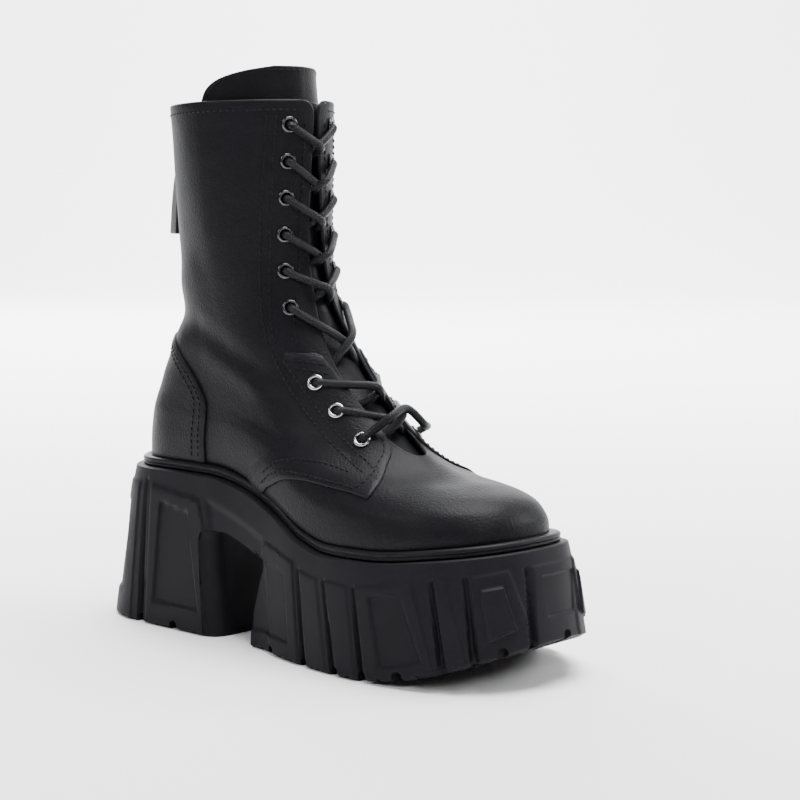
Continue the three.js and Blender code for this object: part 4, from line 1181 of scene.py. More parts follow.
def throat_cutter():
    rows = throat_rows(60, 24)
    middle, normal = upper_point(rows, 180.0), unit(upper_normal(rows, 180.0) * np.array([1, 0, 1]))
    half = throat_half(rows)
    rings = []
    for side, reach in ((-1, 14), (1, 14), (1, -13), (-1, -13)):
        ring = middle + normal * reach
        ring[:, 1] = side * half
        rings.append(ring)
    rings = np.stack(rings, 1)
    return capped(np.concatenate([rings, rings[-1:] + np.array([0, 0, 14.0])]))


def zip_cutter():
    width, low, high = ZIP_SLIT
    heights = np.linspace(low, high, 40)
    asides = np.linspace(-width / 2, width / 2, 5)
    row, degrees = zip_place(heights[:, None], asides[None, :])
    layers = []
    for depth in (-5.0, WALL + 3):
        layer = upper_offset(row, degrees, depth)
        layers.append(np.concatenate([layer, layer[-1:] + np.array([0, 0, 9.0])]))
    return closed_sheet(*layers)


def closed_sheet(outer, inner):
    """Closed solid between two sheets with the same rows and columns."""
    shape = Shape()
    rows, columns = outer.shape[:2]
    size = rows * columns
    faces = grid_faces(rows, columns)
    sides = []
    border = [(0, c) for c in range(columns - 1)] + [(r, columns - 1) for r in range(rows - 1)]
    border += [(rows - 1, c) for c in range(columns - 1, 0, -1)] + [(r, 0) for r in range(rows - 1, 0, -1)]
    ids = [r * columns + c for r, c in border]
    for a, b in zip(ids, ids[1:] + ids[:1]):
        sides.append([b, a, size + a, size + b])
    shape.add(np.concatenate([outer.reshape(-1, 3), inner.reshape(-1, 3)]),
              faces.tolist() + (faces[:, ::-1] + size).tolist() + sides)
    return shape.outward()


def eyelet_frames():
    """Place and direction of each eyelet, the outside ones first."""
    frames = []
    for mirrored in (False, True):
        turn = 360 - EYELET_DEGREES if mirrored else EYELET_DEGREES
        frames.append((skin(EYELET_ROWS, turn), upper_normal(EYELET_ROWS, turn)))
    return frames


def build_upper():
    columns = 312
    degrees = np.linspace(0, 360, columns, endpoint=False)[None, :]
    rows = np.linspace(0, COLLAR, 150)[:, None]
    outer = skin(rows, degrees)
    outer[0, :, 2] = rim_z(outer[0, :, 0]) + SEAT
    collar = []
    for depth, rise in ((0.25, 0.55), (0.9, 0.85), (1.6, 0.6)):
        ring = skin(np.array(COLLAR), degrees[0], -depth)
        ring[:, 2] += rise
        collar.append(ring)
    inner_rows = np.linspace(COLLAR, 0, 46)[:, None]
    inner = upper_offset(inner_rows, degrees, WALL)
    inner[-1, :, 2] = rim_z(inner[-1, :, 0]) + SEAT
    rings = np.concatenate([outer, np.stack(collar), inner])
    faces = grid_faces(len(rings), columns, True, True)
    first_inner = (len(outer) + len(collar)) * columns
    finish = (faces.min(1) >= first_inner).astype(int)
    shape = Shape()
    shape.add(rings, faces, finish)
    shape.outward()
    bores = Shape()
    for places, normals in eyelet_frames():
        for at, normal in zip(places, normals):
            side = unit(np.cross(normal, [0, 0, 1.0]))
            other = np.cross(normal, side)
            ring = [at + EYELET_BORE * (u * side + v * other) for u, v in whole_circle(20)]
            bores.join(capped([[point + normal * h for point in ring] for h in (-6, 6)]).outward())
    return add_piece("upper_shell", shape, ["black_leather", "lining_cloth"], ["upper"], crisp=42,
                     cutters=[throat_cutter(), zip_cutter(), bores])


def panel_points(line, spacing):
    """Points of an even triangle pattern inside a closed line, clear of it."""
    low, high = line.min(0), line.max(0)
    points = []
    for k, u in enumerate(np.arange(low[0] + spacing / 2, high[0], spacing * 0.87)):
        vs = np.arange(low[1] + spacing * (0.25 + 0.5 * (k % 2)), high[1], spacing)
        points.extend((u, v) for v in vs)
    points = np.array(points)
    return points[in_polygon(points, line) & (flat_distance(points, line) > spacing * 0.55)]


def panel_sheet(shape, parts, height, spacing, scale):
    """A leather piece laid over the upper inside a closed line of rows and degrees, with rolled edges."""
    line = np.concatenate([along_polyline(np.array(part, float) * scale, spacing * 0.6)[:-1] for part in parts])
    area = np.sum(line[:, 1] * np.roll(line[:, 0], -1) - line[:, 0] * np.roll(line[:, 1], -1)) / 2
    if area < 0:
        line = line[::-1]
    points = np.concatenate([line, panel_points(line, spacing)])
    edges = [(i, (i + 1) % len(line)) for i in range(len(line))]
    made = delaunay_2d_cdt([Vector(p) for p in points.tolist()], edges, [], 1, 1e-4)
    flat = np.array([list(p) for p in made[0]])
    faces = [list(face) for face in made[2]]
    source = {o: k for k, found in enumerate(made[3]) for o in found}
    loop = [source[i] for i in range(len(line))]
    row, degrees = flat[:, 0] / scale[0], flat[:, 1] / scale[1]
    lift = height(row, degrees)
    top = skin(row, degrees, lift)
    edge = top[loop]
    normal = upper_normal(row[loop], degrees[loop])
    forward = unit(np.roll(edge, -1, axis=0) - np.roll(edge, 1, axis=0))
    away = unit(np.cross(forward, normal))
    inner = upper_point(flat[:, 0].mean() / scale[0], flat[:, 1].mean() / scale[1])
    if np.mean(np.sum((edge - inner) * away, -1)) < 0:
        away = -away
    thick = lift[loop, None] + OVERLAY_SINK
    rings = [edge + away * reach + normal * drop * thick for reach, drop in OVERLAY_EDGE]
    rings.append(edge + away * (OVERLAY_EDGE[-1][0] - 0.1) - normal * thick)
    n = len(loop)
    all_points = np.concatenate([top, *rings])
    before = loop
    for k in range(len(rings)):
        after = [len(top) + k * n + i for i in range(n)]
        faces += [[before[i], before[(i + 1) % n], after[(i + 1) % n], after[i]] for i in range(n)]
        before = after
    # Marks the rolled edge, where the leather's colour is lifted as a painted highlight.
    marks = np.zeros(len(all_points))
    marks[len(top):len(top) + 2 * n] = 1.0
    marks[loop] = 0.6
    first = faces[0]
    a, b, c = all_points[first]
    if np.dot(np.cross(b - a, c - a), upper_normal(row[first[0]], degrees[first[0]])) < 0:
        faces = [face[::-1] for face in faces]
    shape.add(all_points, faces, edge=marks)


def in_polygon(points, line):
    x, y = points.T
    inside = np.zeros(len(points), bool)
    for (x0, y0), (x1, y1) in zip(line, np.roll(line, -1, axis=0)):
        crosses = (y0 > y) != (y1 > y)
        if y1 != y0:
            inside ^= crosses & (x < (x1 - x0) * (y - y0) / (y1 - y0) + x0)
    return inside


def flat_distance(points, line):
    best = np.full(len(points), 1e9)
    for a, b in zip(line, np.roll(line, -1, axis=0)):
        way = b - a
        t = np.clip(((points - a) @ way) / max(way @ way, 1e-9), 0, 1)
        best = np.minimum(best, np.linalg.norm(points - a - t[:, None] * way, axis=1))
    return best


def mirrored_places(places):
    return [(row, 360 - degrees) for row, degrees in places]


def quarter_height(row, degrees):
    """Thickness of the quarter over the upper: full at its seams, and fading into it at the back."""
    thick = bpy.context.scene.boot_leather.overlay
    turn = np.where(np.asarray(degrees) > 180, 360 - np.asarray(degrees), degrees)
    points = upper_point(row, turn)
    sewn = QUARTER_SEAM + QUARTER_FRONT[1:] + QUARTER_TOP[1:-1]
    seam = along_polyline(upper_point(*np.array(sewn, float).T), 3)
    back = along_polyline(upper_point(*np.array(QUARTER_BACK, float).T), 3)
    near_seam = 1 - ease(9, 30, distance_to(points, seam))
    off_back = ease(0.5, 11, distance_to(points, back))
    return thick * near_seam * off_back - 0.3 * (1 - near_seam * off_back)


def counter_height(row, degrees):
    return np.full(np.shape(row), bpy.context.scene.boot_leather.overlay + 0.2)


def build_panels():
    made = []
    for name, mirrored in (("quarter_outside", False), ("quarter_inside", True)):
        parts = [QUARTER_SEAM, QUARTER_FRONT, QUARTER_TOP, QUARTER_BACK,
                 [QUARTER_BACK[-1], (0.05, 77), QUARTER_SEAM[0]]]
        parts = [mirrored_places(part) for part in parts] if mirrored else parts
        shape = Shape()
        panel_sheet(shape, parts, quarter_height, 1.5, np.array([9.5, 1.1]))
        made.append(add_piece(name, shape, ["black_leather"]))
    edge = COUNTER_EDGE + [(row, -degrees) for row, degrees in COUNTER_EDGE[-2::-1]]
    bottom = [(0.05, -58.6), (0.05, -30), (0.05, 0), (0.05, 30), (0.05, 58.6)]
    shape = Shape()
    panel_sheet(shape, [edge, bottom], counter_height, 1.8, np.array([9.0, 0.9]))
    made.append(add_piece("counter_cover", shape, ["black_leather"], ["heel_counter"]))
    beads = Shape()
    throat = np.concatenate([throat_edge(-1, WALL / 2)[::-1], throat_edge(1, WALL / 2)])
    tube(beads, throat, WALL / 2 + 0.12, 10)
    for aside in (-6.6, 6.6):
        heights = np.linspace(104, 257.4, 60)
        row, degrees = zip_place(heights, aside)
        path = along_polyline(upper_offset(row, degrees, WALL / 2 - relief(row, degrees)), 2)
        tube(beads, path, WALL / 2 + 0.1, 10)
    low = zip_place(np.full(9, 104.0), np.linspace(-6.6, 6.6, 9))
    tube(beads, upper_offset(low[0], low[1], WALL / 2 - relief(*low)), WALL / 2 + 0.1, 10)
    # The turned edges carry the same mark, for the painted highlight.
    beads.marks = {"edge": [(0, np.full(beads.count, 0.7))]}
    made.append(add_piece("turned_edges", beads, ["black_leather"]))
    return made


# ------------------------------------------------------------------ tongue
TONGUE_CURVES = {column: TONGUE_ROWS.curve(column) for column in TONGUE_ROWS.columns}


def tongue_point(up, across, layer):
    """Point of the tongue: up from 0 to 1, across from -1 to 1, layer 0 on its face and 1 on its back."""
    place = np.asarray(up, float) * (TONGUE_ROWS.size - 1)
    s = {column: curve(place) for column, curve in TONGUE_CURVES.items()}
    degrees = 180 + across * s["reach"]
    bow = np.abs(across) ** 2.2
    depth = mix(s["depth"], s["side_depth"], bow)
    top = np.clip((np.asarray(up) - 0.955) / 0.045, 0, 1)
    thin = (1 - np.abs(across) ** 26) ** 0.5 * (1 - top**3) ** 0.5
    middle = depth + TONGUE / 2
    swell = 0.5 * np.exp(-((across / 0.75) ** 4)) * ease(0.5, 0.8, up)
    here = middle + (layer - 0.5) * (TONGUE + swell) * np.maximum(thin, 0.02)
    point = upper_offset(np.minimum(s["row"], COLLAR - 0.01), degrees, here)
    return point + np.stack([-s["over"] * 0.08, np.zeros_like(s["over"]), s["over"]], -1)


def build_tongue():
    rows, columns = 150, 90
    share = np.linspace(0, 1, rows)
    up = np.concatenate([share[:-1] * 0.95 / share[-2], [0.97, 0.985, 0.994, 1.0]])[:, None]
    turn = np.linspace(-1, 1, columns)
    across = np.sign(turn) * (1 - (1 - np.abs(turn)) ** 1.25)
    up, across = np.broadcast_arrays(up, across[None, :])
    shape = closed_sheet(tongue_point(up, across, 0.0), tongue_point(up, across, 1.0))
    return add_piece("tongue_leather", shape, ["black_leather"], ["tongue"])


# ------------------------------------------------------------------ stitches
def stitches(shape, points, normals):
    """Thread along a line of points, dipping into the leather between stitches, each hole a flat dark disc of
    painted shade.
    """
    look = bpy.context.scene.boot_stitches
    length = lengths(points)
    count = max(int(length[-1] / look.pitch), 1)

    def at(values, place):
        return np.stack([np.interp(place, length, values[:, k]) for k in range(3)], -1)

    def frame_at(places):
        places = places * length[-1] / count
        normal = unit(at(normals, places))
        forward = unit(at(points, places + 0.5) - at(points, places - 0.5))
        return at(points, places), normal, forward, np.cross(normal, forward)

    centre, normal, forward, side = frame_at(np.arange(count) + 0.5)
    r = look.thickness / 2
    rings = [(-0.5, 0.35, -0.9), (-0.42, 0.85, -0.1), (-0.2, 1.0, 0.42), (0.2, 1.0, 0.42), (0.42, 0.85, -0.1),
             (0.5, 0.35, -0.9)]
    turn = np.arange(6) * math.pi / 3
    points_out = []
    for along, size, rise in rings:
        for a in turn:
            points_out.append(centre + forward * along * look.length + side * r * size * math.cos(a)
                              + normal * r * (rise + size * math.sin(a)))
    block = np.stack(points_out, 1)
    faces = grid_faces(len(rings), 6, True)
    many = (faces[None] + (np.arange(count) * block.shape[1])[:, None, None]).reshape(-1, 4)
    shape.add(block.reshape(-1, 3), many, 0)
    # Each hole is a flat dark disc laid on the leather: painted shade in place of an opening.
    centre, normal, forward, side = frame_at(np.arange(count + 1))
    ring = [centre + forward * 0.62 * math.cos(a) + side * 0.45 * math.sin(a) + normal * 0.05
            for a in np.arange(8) * math.pi / 4]
    hole = np.stack([*ring], 1)
    faces = np.arange(8)[None] + (np.arange(count + 1) * 8)[:, None]
    shape.add(hole.reshape(-1, 3), faces, 1)


def stitch_line(shape, places, lift=None):
    fine = along_polyline(np.array(places, float) * np.array([12, 1.0]), 1.0)
    row, degrees = fine[:, 0] / 12, fine[:, 1]
    height = lift(row, degrees) if lift else np.zeros(len(row))
    stitches(shape, skin(row, degrees, np.maximum(height, 0.0) + 0.02), upper_normal(row, degrees))


def build_stitches():
    shape = Shape()
    heights = {"quarter": quarter_height, "counter": counter_height, "shaft": None}
    for where, places in STITCH_ROWS:
        if where == "counter":
            stitch_line(shape, places + [(row, -degrees) for row, degrees in places[-2::-1]], heights[where])
            continue
        stitch_line(shape, places, heights[where])
        stitch_line(shape, mirrored_places(places), heights[where])
    for start, end in ((4, 160), (200, 256), (294, 356)):
        count = int((end - start) / 4) + 2
        stitch_line(shape, [(13.83, d) for d in np.linspace(start, end, count)])
    for aside in (-9.4, 9.4, -12.2, 12.2):
        row, degrees = zip_place(np.linspace(103, 253, 60), aside)
        stitches(shape, skin(row, degrees, 0.02), upper_normal(row, degrees))
    made = [add_piece("seams", shape, ["thread", "painted_hole_shade"])]
    shape = Shape()
    edge = 0.93
    up = np.concatenate([np.linspace(0.55, edge, 60), np.full(60, edge), np.linspace(edge, 0.55, 60)])
    across = np.concatenate([np.full(60, -edge), np.linspace(-edge, edge, 60), np.full(60, edge)])
    face = tongue_point(up, across, 0.0)
    back = tongue_point(up, across, 1.0)
    line = along_polyline(face[::3], 1.0)
    over = along_polyline((face + unit(face - back))[::3], 1.0)
    count = min(len(line), len(over))
    normal = unit(over[:count] - line[:count])
    stitches(shape, line[:count] + 0.02 * normal, normal)
    made.append(add_piece("tongue_seam", shape, ["thread", "painted_hole_shade"]))
    return made


# ------------------------------------------------------------------ eyelets and lace
def build_eyelets():
    made = []
    shaft, foot = SHAFT_EYELETS[0], FOOT_EYELETS[0]
    # The foot eyelets' lighter finish is painted light; they are the shaft's metal.
    groups = (("shaft_eyelets", "dark_nickel", range(shaft)),
              ("foot_eyelets", "lit_eyelet_metal", range(shaft, shaft + foot)))
    for name, finish, numbers in groups:
        shape = Shape()
        nodes = []
        for word, (places, normals) in zip(("lateral", "medial"), eyelet_frames()):
            for i in numbers:
                lift = quarter_height(EYELET_ROWS[i:i + 1], EYELET_DEGREES[i:i + 1])[0] if i >= shaft else 0.0
                lathe(shape, EYELET_PROFILE, places[i] + normals[i] * max(lift - 0.1, 0), normals[i])
                nodes.append(f"eyelet_{word}_{i + 1}")
        made.append(add_piece(name, shape.outward(), [finish], nodes))
    return made


def under_facing(height, side, depth):
    """Point just under a facing's edge at a height, side -1 outside and 1 inside."""
    row, degrees = front_place(np.array([height]), np.array([8.0]))
    for _ in range(3):
        row, degrees = front_place(np.array([height]), throat_half(row) + 0.4)
    return upper_offset(row, degrees if side < 0 else 360 - degrees, depth)[0]


def over_throat(height, aside, lift):
    """Point over the throat at a height, a distance to the inside and out of the boot."""
    row, _ = front_place(np.array([height]), np.array([0.5]))
    return upper_offset(row, np.array([180.0]), -lift)[0] + np.array([0, aside, 0])


def lace_run(start, start_normal, end, end_normal, side, lift, sag):
    """The lace from one eyelet, over the throat, under the other facing and out of its next eyelet."""
    way = unit(end - start)
    middle = over_throat(mix(start[2], end[2], 0.45) - sag, side * 1.6, lift)
    edge = under_facing(mix(start[2], end[2], 0.72) - sag * 0.7, -side, WALL + 2.3)
    return [start - start_normal * 4.2, start - start_normal * 0.6, start + start_normal * 2.3 + way * 0.9,
            start + start_normal * 3.3 + way * 3.2,
            mix(start + start_normal * 3.3 + way * 3.2, middle, 0.55) + start_normal * 0.5,
            middle, edge, mix(edge, end - end_normal * 5.2, 0.5) - end_normal * 0.6,
            end - end_normal * 5.4 - way * 1.2]


def lace_bar(start, start_normal, end, end_normal):
    """The lace's bar over the outside, joining the two lowest eyelets, with a loose loop to the inside."""
    way = unit(end - start)
    low = start[2]
    first = over_throat(low + 5.5, -8.0, 8.5)
    second = over_throat(low + 7.5, 3.5, 8.8)
    third = over_throat(low + 2.5, 11.5, 5.0)
    return [start - start_normal * 4.2, start - start_normal * 0.6, start + start_normal * 2.4 + way * 0.6,
            start + start_normal * 4.2 + way * 3.4, first, second, third, end + end_normal * 4.0 + way * 1.2,
            end + end_normal * 2.2, end - end_normal * 0.6, end - end_normal * 4.2]


def build_lace():
    sides = eyelet_frames()
    last = len(EYELET_ROWS) - 1

    def half_lace(first):
        points = []
        for i in range(last):
            a, b = (first + i) % 2, (first + i + 1) % 2
            names = ("lift", "sag") if a == 0 else ("other_lift", "other_sag")
            lift, sag = (LACE_RUNS.data[name][i] for name in names)
            points += lace_run(sides[a][0][i], sides[a][1][i], sides[b][0][i + 1], sides[b][1][i + 1],
                               1 if a else -1, lift, sag)
        return points

    one, two = half_lace(0), half_lace(1)
    start, end = sides[last % 2], sides[1 - last % 2]
    bar = lace_bar(start[0][last], start[1][last], end[0][last], end[1][last])
    path = np.array(one + bar + two[::-1])
    keep = np.concatenate([[True], np.linalg.norm(np.diff(path, axis=0), axis=1) > 0.8])
    line = along_polyline(path[keep], 0.8)
    for _ in range(4):
        line[1:-1] = line[1:-1] * 0.5 + (line[:-2] + line[2:]) * 0.25
    shape = Shape()
    tube(shape, line, bpy.context.scene.boot_lace.thickness / 2, 14)
    nodes = ["lace_bar"] + [f"lace_cross_{i}" for i in range(1, 9)]
    return add_piece("lace", shape, ["lace_cord"], nodes)


# ------------------------------------------------------------------ zip and loop
def zip_frame(height):
    """Across, along and out of the zip at a height, and the point there."""
    row, degrees = zip_place(np.array([height]), np.array([0.0]))
    normal = upper_normal(row, degrees)[0]
    across = unit(np.cross([0, 0, 1.0], normal))
    return across, np.cross(normal, across), normal, upper_point(row, degrees)[0]


ZIP_HEIGHTS = np.linspace(102, 260, 80)
ZIP_PLACES = zip_place(ZIP_HEIGHTS, 0.0)
ZIP_POINTS, ZIP_NORMALS = upper_point(*ZIP_PLACES), upper_normal(*ZIP_PLACES)


def tooth_frame(height):
    """As zip_frame, but following the zip's curve, and read from points worked out once."""
    point, ahead, normal = (
        np.array([np.interp(at, ZIP_HEIGHTS, values[:, k]) for k in range(3)])
        for at, values in ((height, ZIP_POINTS), (height + 1, ZIP_POINTS), (height, ZIP_NORMALS)))
    normal = unit(normal)
    along = unit(ahead - point)
    along = unit(along - normal * (along @ normal))
    return np.cross(along, normal), along, normal, point


def rounded_block(shape, frame_at, centre, size, round_by):
    """Block with rounded edges, in a frame of across, along, out and point."""
    across, along, out, point = frame_at
    half = np.array(size) / 2
    steps = [(-h, -h + round_by * 0.3, -h + round_by, h - round_by, h - round_by * 0.3, h) for h in half]
    corners = {}
    points, faces = [], []

    def index(i, j, k):
        if (i, j, k) not in corners:
            p = np.array([steps[0][i], steps[1][j], steps[2][k]])
            inner = np.clip(p, -half + round_by, half - round_by)
            away = p - inner
            length = np.linalg.norm(away)
            if length > round_by:
                p = inner + away * (round_by / length)
            p = p + np.array(centre)
            points.append(point + across * p[0] + along * p[1] + out * p[2])
            corners[(i, j, k)] = len(points) - 1
        return corners[(i, j, k)]

    n = len(steps[0]) - 1
    for i in range(n):
        for j in range(n):
            faces.append([index(i, j, 0), index(i, j + 1, 0), index(i + 1, j + 1, 0), index(i + 1, j, 0)])
            faces.append([index(i, j, n), index(i + 1, j, n), index(i + 1, j + 1, n), index(i, j + 1, n)])
            faces.append([index(i, 0, j), index(i + 1, 0, j), index(i + 1, 0, j + 1), index(i, 0, j + 1)])
            faces.append([index(i, n, j), index(i, n, j + 1), index(i + 1, n, j + 1), index(i + 1, n, j)])
            faces.append([index(0, i, j), index(0, i, j + 1), index(0, i + 1, j + 1), index(0, i + 1, j)])
            faces.append([index(n, i, j), index(n, i + 1, j), index(n, i + 1, j + 1), index(n, i, j + 1)])
    shape.add(points, faces)


def build_zip():
    pitch = bpy.context.scene.boot_zip.pitch
    made = []
    heights = np.linspace(102.5, 256.5, 120)
    asides = np.concatenate([np.linspace(-7.6, -0.5, 10), np.linspace(0.5, 7.6, 10)])
    row, degrees = zip_place(heights[:, None], asides[None, :])
    roll = 0.25 * np.cos(asides / 7.6 * math.pi)[None, :]
    outer = upper_offset(row, degrees, 1.2 - roll)
    inner = upper_offset(row, degrees, 2.0 - roll)
    shape = closed_sheet(outer, inner)
    shape.marks = {"tape_up": [(0, np.tile(np.repeat(lengths(outer[:, 0]), len(asides)), 2))],
                   "tape_across": [(0, np.tile(asides, 2 * len(heights)))]}
    made.append(add_piece("zip_tape_cloth", shape, ["zip_cloth"], ["zip_tape"]))
    teeth = Shape()
    path = along_polyline(upper_point(*zip_place(np.linspace(106, 242.5, 90), 0.0)), pitch / 2)
    for k, at in enumerate(path):
        side = 1 if k % 2 else -1
        frame_at = tooth_frame(at[2])
        rounded_block(teeth, frame_at, (side * 1.5, 0, 0.0), (4.1, 1.28, 2.0), 0.34)
        rounded_block(teeth, frame_at, (side * -0.5, 0, 0.05), (1.3, 1.7, 1.9), 0.4)
    made.append(add_piece("zip_teeth", teeth, ["zip_nickel"], ["zip_chain"]))
    return made


def squared(value, power):
    """A circle's cosine or sine, pushed outwards to square the circle."""
    return math.copysign(abs(value) ** power, value)


def build_slider():
    at = zip_frame(SLIDER_HEIGHT)
    across, along, out, point = at
    body = Shape()
    for centre, size, round_by in SLIDER_BLOCKS:
        rounded_block(body, at, centre, size, round_by)
    path = along_polyline(np.array([point + along * v + out * h for v, h in BRIDGE]), 0.5)
    tube(body, path, 1.0, 12, flat=0.55, up=out)
    made = [add_piece("slider_body", body, ["zip_nickel"], ["zip_slider"])]
    outer, inner = [], []
    for c, s in whole_circle(64):
        width = 2.45 + 0.5 * ease(-6, -20, -10 + 12.2 * s) if s < 0 else 2.45
        outer.append((squared(c, 0.35) * width, squared(s, 0.55) * 12.5 - 11.4))
        inner.append((squared(c, 0.45) * 1.65, squared(s, 0.6) * 2.5 - 2.1))
    layers = [(outer, 3.42, 1.0), (outer, 3.3, 0.94), (inner, 3.3, 1.06), (inner, 3.42, 1.0),
              (inner, 4.18, 1.0), (inner, 4.3, 1.06), (outer, 4.3, 0.94), (outer, 4.18, 1.0)]
    rings = []
    for ring, height, size in layers:
        (x, y), less = np.mean(ring, axis=0), 1 + (size - 1) * 0.3
        rings.append([point + across * (x + (u - x) * size) + along * (y + (v - y) * less) + out * height
                      for u, v in ring])
    pull = Shape()
    pull.add(np.array(rings), grid_faces(len(rings), 64, True, True))
    made.append(add_piece("slider_pull", pull.outward(), ["zip_nickel"], ["zip_pull"],
                          body="zip_pull", crisp=50))
    return made


def build_loop():
    width, thick = LOOP_SIZE
    place = np.linspace(0, LOOP.size - 1, 70)
    s = {column: LOOP.curve(column)(place) for column in LOOP.columns}
    turn = np.radians(s["twist"])
    wide = np.stack([-np.sin(turn), np.cos(turn), np.zeros_like(turn)], -1)
    flat = np.stack([np.cos(turn), np.sin(turn), np.zeros_like(turn)], -1)
    centre = np.stack([s["x"], s["y"], s["z"]], -1)
    profile = [(squared(c, 0.22) * width / 2, squared(a, 0.5) * thick / 2) for c, a in whole_circle(36)]
    rings = np.array([[centre[k] + wide[k] * u + flat[k] * v for u, v in profile] for k in range(len(place))])

    def rounded_end(ring, up):
        middle = ring.mean(0)
        return [middle + (ring - middle) * size + np.array([0, 0, up * rise])
                for size, rise in ((0.96, 0.5), (0.7, 0.8))]

    rings = [*rounded_end(rings[0], 1)[::-1], *rings, *rounded_end(rings[-1], -1)]
    piece = add_piece("back_loop", capped(rings).outward(), ["black_leather"], ["pull_loop"])
    seam = Shape()
    for rank in LOOP_SEAMS:
        across = np.linspace(-width / 2 + 1.2, width / 2 - 1.2, 8)[:, None]
        stitches(seam, centre[rank] + wide[rank] * across - flat[rank] * (thick / 2 + 0.02),
                 np.repeat(-flat[rank][None], 8, axis=0))
    return [piece, add_piece("loop_seam", seam, ["thread", "painted_hole_shade"])]


# ------------------------------------------------------------------ stage
def build_stage():
    look = bpy.context.scene.boot_stage
    floor = bpy.data.meshes.new("floor")
    turn = np.linspace(0, math.pi / 2, 14)
    profile = [(-14.0, 0.0), *((3.0 + 2.0 * math.sin(a), 2.0 - 2.0 * math.cos(a)) for a in turn), (5.0, 8.0)]
    azimuth = math.radians(CAMERA_AZIMUTH)
    away = Vector((-math.sin(azimuth), math.cos(azimuth), 0))
    side = Vector((math.cos(azimuth), math.sin(azimuth), 0))
    points = [tuple(away * d + side * w + Vector((0, 0, z))) for d, z in profile for w in (-16.0, 16.0)]
    faces = [[2 * i, 2 * i + 1, 2 * i + 3, 2 * i + 2] for i in range(len(profile) - 1)]
    floor.from_pydata(points, [], faces)
    floor.shade_smooth()
    f = Finish("pale_floor")
    grit = f.noise(260, 3)
    tone = f.blend(grit, shade(look.floor, 0.985), shade(look.floor, 1.0))
    f.surface(Base_Color=tone, Roughness=0.75 + grit * 0.1, Specular_IOR_Level=0.2)
    floor.materials.append(f.material)
    ground = new_object("floor", floor)
    distance, height, target_distance, target_height, size, power = WASH
    place, target = ((*(away * reach)[:2], z) for reach, z in ((distance, height), (target_distance, target_height)))
    wash = ("wash", place, target, size, power)
    for name, place, target, size, power in (*LAMPS, wash):
        lamp = bpy.data.lights.new(name, "AREA")
        lamp.shape, lamp.size, lamp.energy = "DISK", size, power * look.light
        holder = bpy.data.objects.new(name, lamp)
        holder.location = place
        holder.rotation_euler = (Vector(target) - Vector(place)).to_track_quat("-Z", "Y").to_euler()
        bpy.context.scene.collection.objects.link(holder)
    world = bpy.data.worlds.new("studio")
    world.use_nodes = True
    world.node_tree.nodes["Background"].inputs["Color"].default_value = (1, 1, 1, 1)
    world.node_tree.nodes["Background"].inputs["Strength"].default_value = WORLD_LIGHT
    bpy.context.scene.world = world
    camera = bpy.data.objects.new("camera", bpy.data.cameras.new("camera"))
    camera.data.lens, camera.data.sensor_width = look.lens, 36.0
    camera.location = CAMERA_PLACE
    camera.rotation_euler = (math.radians(90 - CAMERA_TILT), 0, azimuth)
    bpy.context.scene.collection.objects.link(camera)
    bpy.context.scene.camera = camera


# ------------------------------------------------------------------ operators and panel
class BootOperator:
    bl_options = {"REGISTER", "UNDO"}
    build = None

    def execute(self, context):
        type(self).build()
        return {"FINISHED"}


class BOOT_OT_stage(BootOperator, bpy.types.Operator):
    """Makes the floor, lamps and camera"""
    bl_idname, bl_label, build = "boot.stage", "Stage", staticmethod(build_stage)


class BOOT_OT_sole(BootOperator, bpy.types.Operator):
    """Moulds the platform with its grooved wall and lugged tread"""
    bl_idname, bl_label, build = "boot.sole", "Platform", staticmethod(build_sole)


class BOOT_OT_welt(BootOperator, bpy.types.Operator):
    """Runs the welt round the platform"""
    bl_idname, bl_label, build = "boot.welt", "Welt", staticmethod(build_welt)


class BOOT_OT_footbed(BootOperator, bpy.types.Operator):
    """Lays the cloth footbed inside"""
    bl_idname, bl_label, build = "boot.footbed", "Footbed", staticmethod(build_footbed)


class BOOT_OT_upper(BootOperator, bpy.types.Operator):
    """Forms the upper's hollow leather shell"""
    bl_idname, bl_label, build = "boot.upper", "Upper", staticmethod(build_upper)


class BOOT_OT_panels(BootOperator, bpy.types.Operator):
    """Lays the quarters, the heel counter and the turned edges over the upper"""
    bl_idname, bl_label, build = "boot.panels", "Leather overlays", staticmethod(build_panels)


class BOOT_OT_tongue(BootOperator, bpy.types.Operator):
    """Forms the padded tongue"""
    bl_idname, bl_label, build = "boot.tongue", "Tongue", staticmethod(build_tongue)


class BOOT_OT_stitches(BootOperator, bpy.types.Operator):
    """Sews every row of stitches"""
    bl_idname, bl_label, build = "boot.stitches", "Stitches", staticmethod(build_stitches)


class BOOT_OT_eyelets(BootOperator, bpy.types.Operator):
    """Sets the rolled metal eyelets"""
    bl_idname, bl_label, build = "boot.eyelets", "Eyelets", staticmethod(build_eyelets)


class BOOT_OT_lace(BootOperator, bpy.types.Operator):
    """Threads one round lace through all the eyelets"""
    bl_idname, bl_label, build = "boot.lace", "Lace", staticmethod(build_lace)


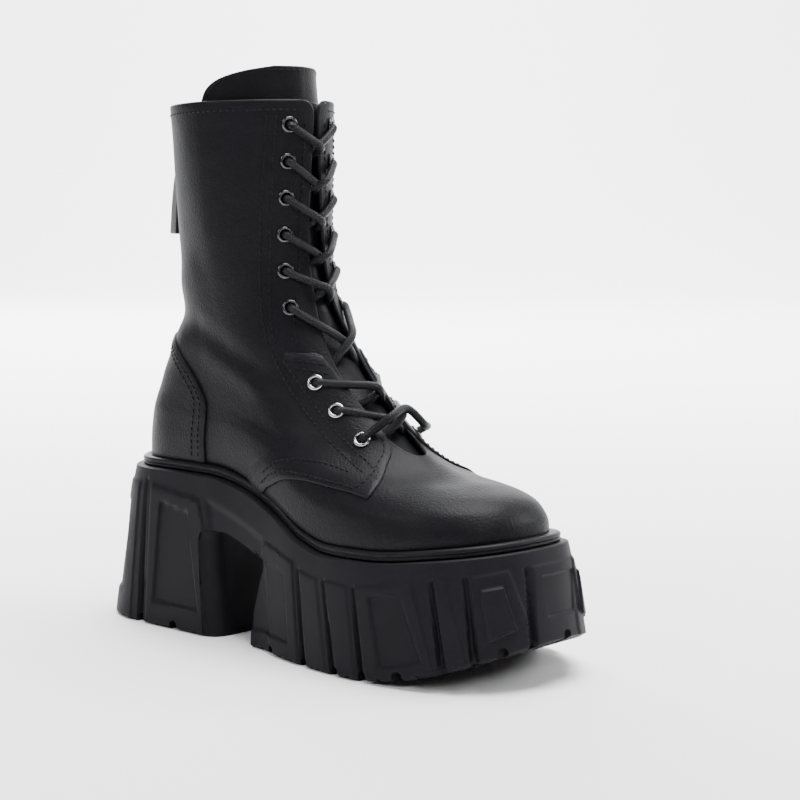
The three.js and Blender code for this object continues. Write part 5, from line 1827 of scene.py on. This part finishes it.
class BOOT_OT_zip(BootOperator, bpy.types.Operator):
    """Makes the zip's tape and its metal teeth"""
    bl_idname, bl_label, build = "boot.zip", "Zip", staticmethod(build_zip)


class BOOT_OT_slider(BootOperator, bpy.types.Operator):
    """Makes the zip's slider and its hinged pull"""
    bl_idname, bl_label, build = "boot.slider", "Slider", staticmethod(build_slider)


class BOOT_OT_loop(BootOperator, bpy.types.Operator):
    """Makes the twisted pull loop behind the collar"""
    bl_idname, bl_label, build = "boot.loop", "Pull loop", staticmethod(build_loop)


OPERATORS = (BOOT_OT_stage, BOOT_OT_sole, BOOT_OT_welt, BOOT_OT_footbed, BOOT_OT_upper, BOOT_OT_panels,
             BOOT_OT_tongue, BOOT_OT_stitches, BOOT_OT_eyelets, BOOT_OT_lace, BOOT_OT_zip, BOOT_OT_slider,
             BOOT_OT_loop)


class BOOT_PT_panel(bpy.types.Panel):
    """Steps and settings of the boot"""
    bl_idname, bl_label = "BOOT_PT_panel", "Platform boot"
    bl_space_type, bl_region_type, bl_category = "VIEW_3D", "UI", "Boot"

    def draw(self, context):
        for name, group in GROUPS.items():
            box = self.layout.box()
            for setting in group.__annotations__:
                box.prop(getattr(context.scene, name), setting)
        for operator in OPERATORS:
            self.layout.operator(operator.bl_idname)


def register():
    for name, group in GROUPS.items():
        bpy.utils.register_class(group)
        setattr(bpy.types.Scene, name, bpy.props.PointerProperty(type=group))
    for operator in OPERATORS:
        bpy.utils.register_class(operator)
    bpy.utils.register_class(BOOT_PT_panel)


def unregister():
    bpy.utils.unregister_class(BOOT_PT_panel)
    for operator in reversed(OPERATORS):
        bpy.utils.unregister_class(operator)
    for name, group in reversed(GROUPS.items()):
        delattr(bpy.types.Scene, name)
        bpy.utils.unregister_class(group)


def main():
    register()
    for operator in OPERATORS:
        group, name = operator.bl_idname.split(".")
        if getattr(getattr(bpy.ops, group), name)() != {"FINISHED"}:
            raise RuntimeError(f"{operator.bl_label} was not finished")


if __name__ == "__main__":
    main()
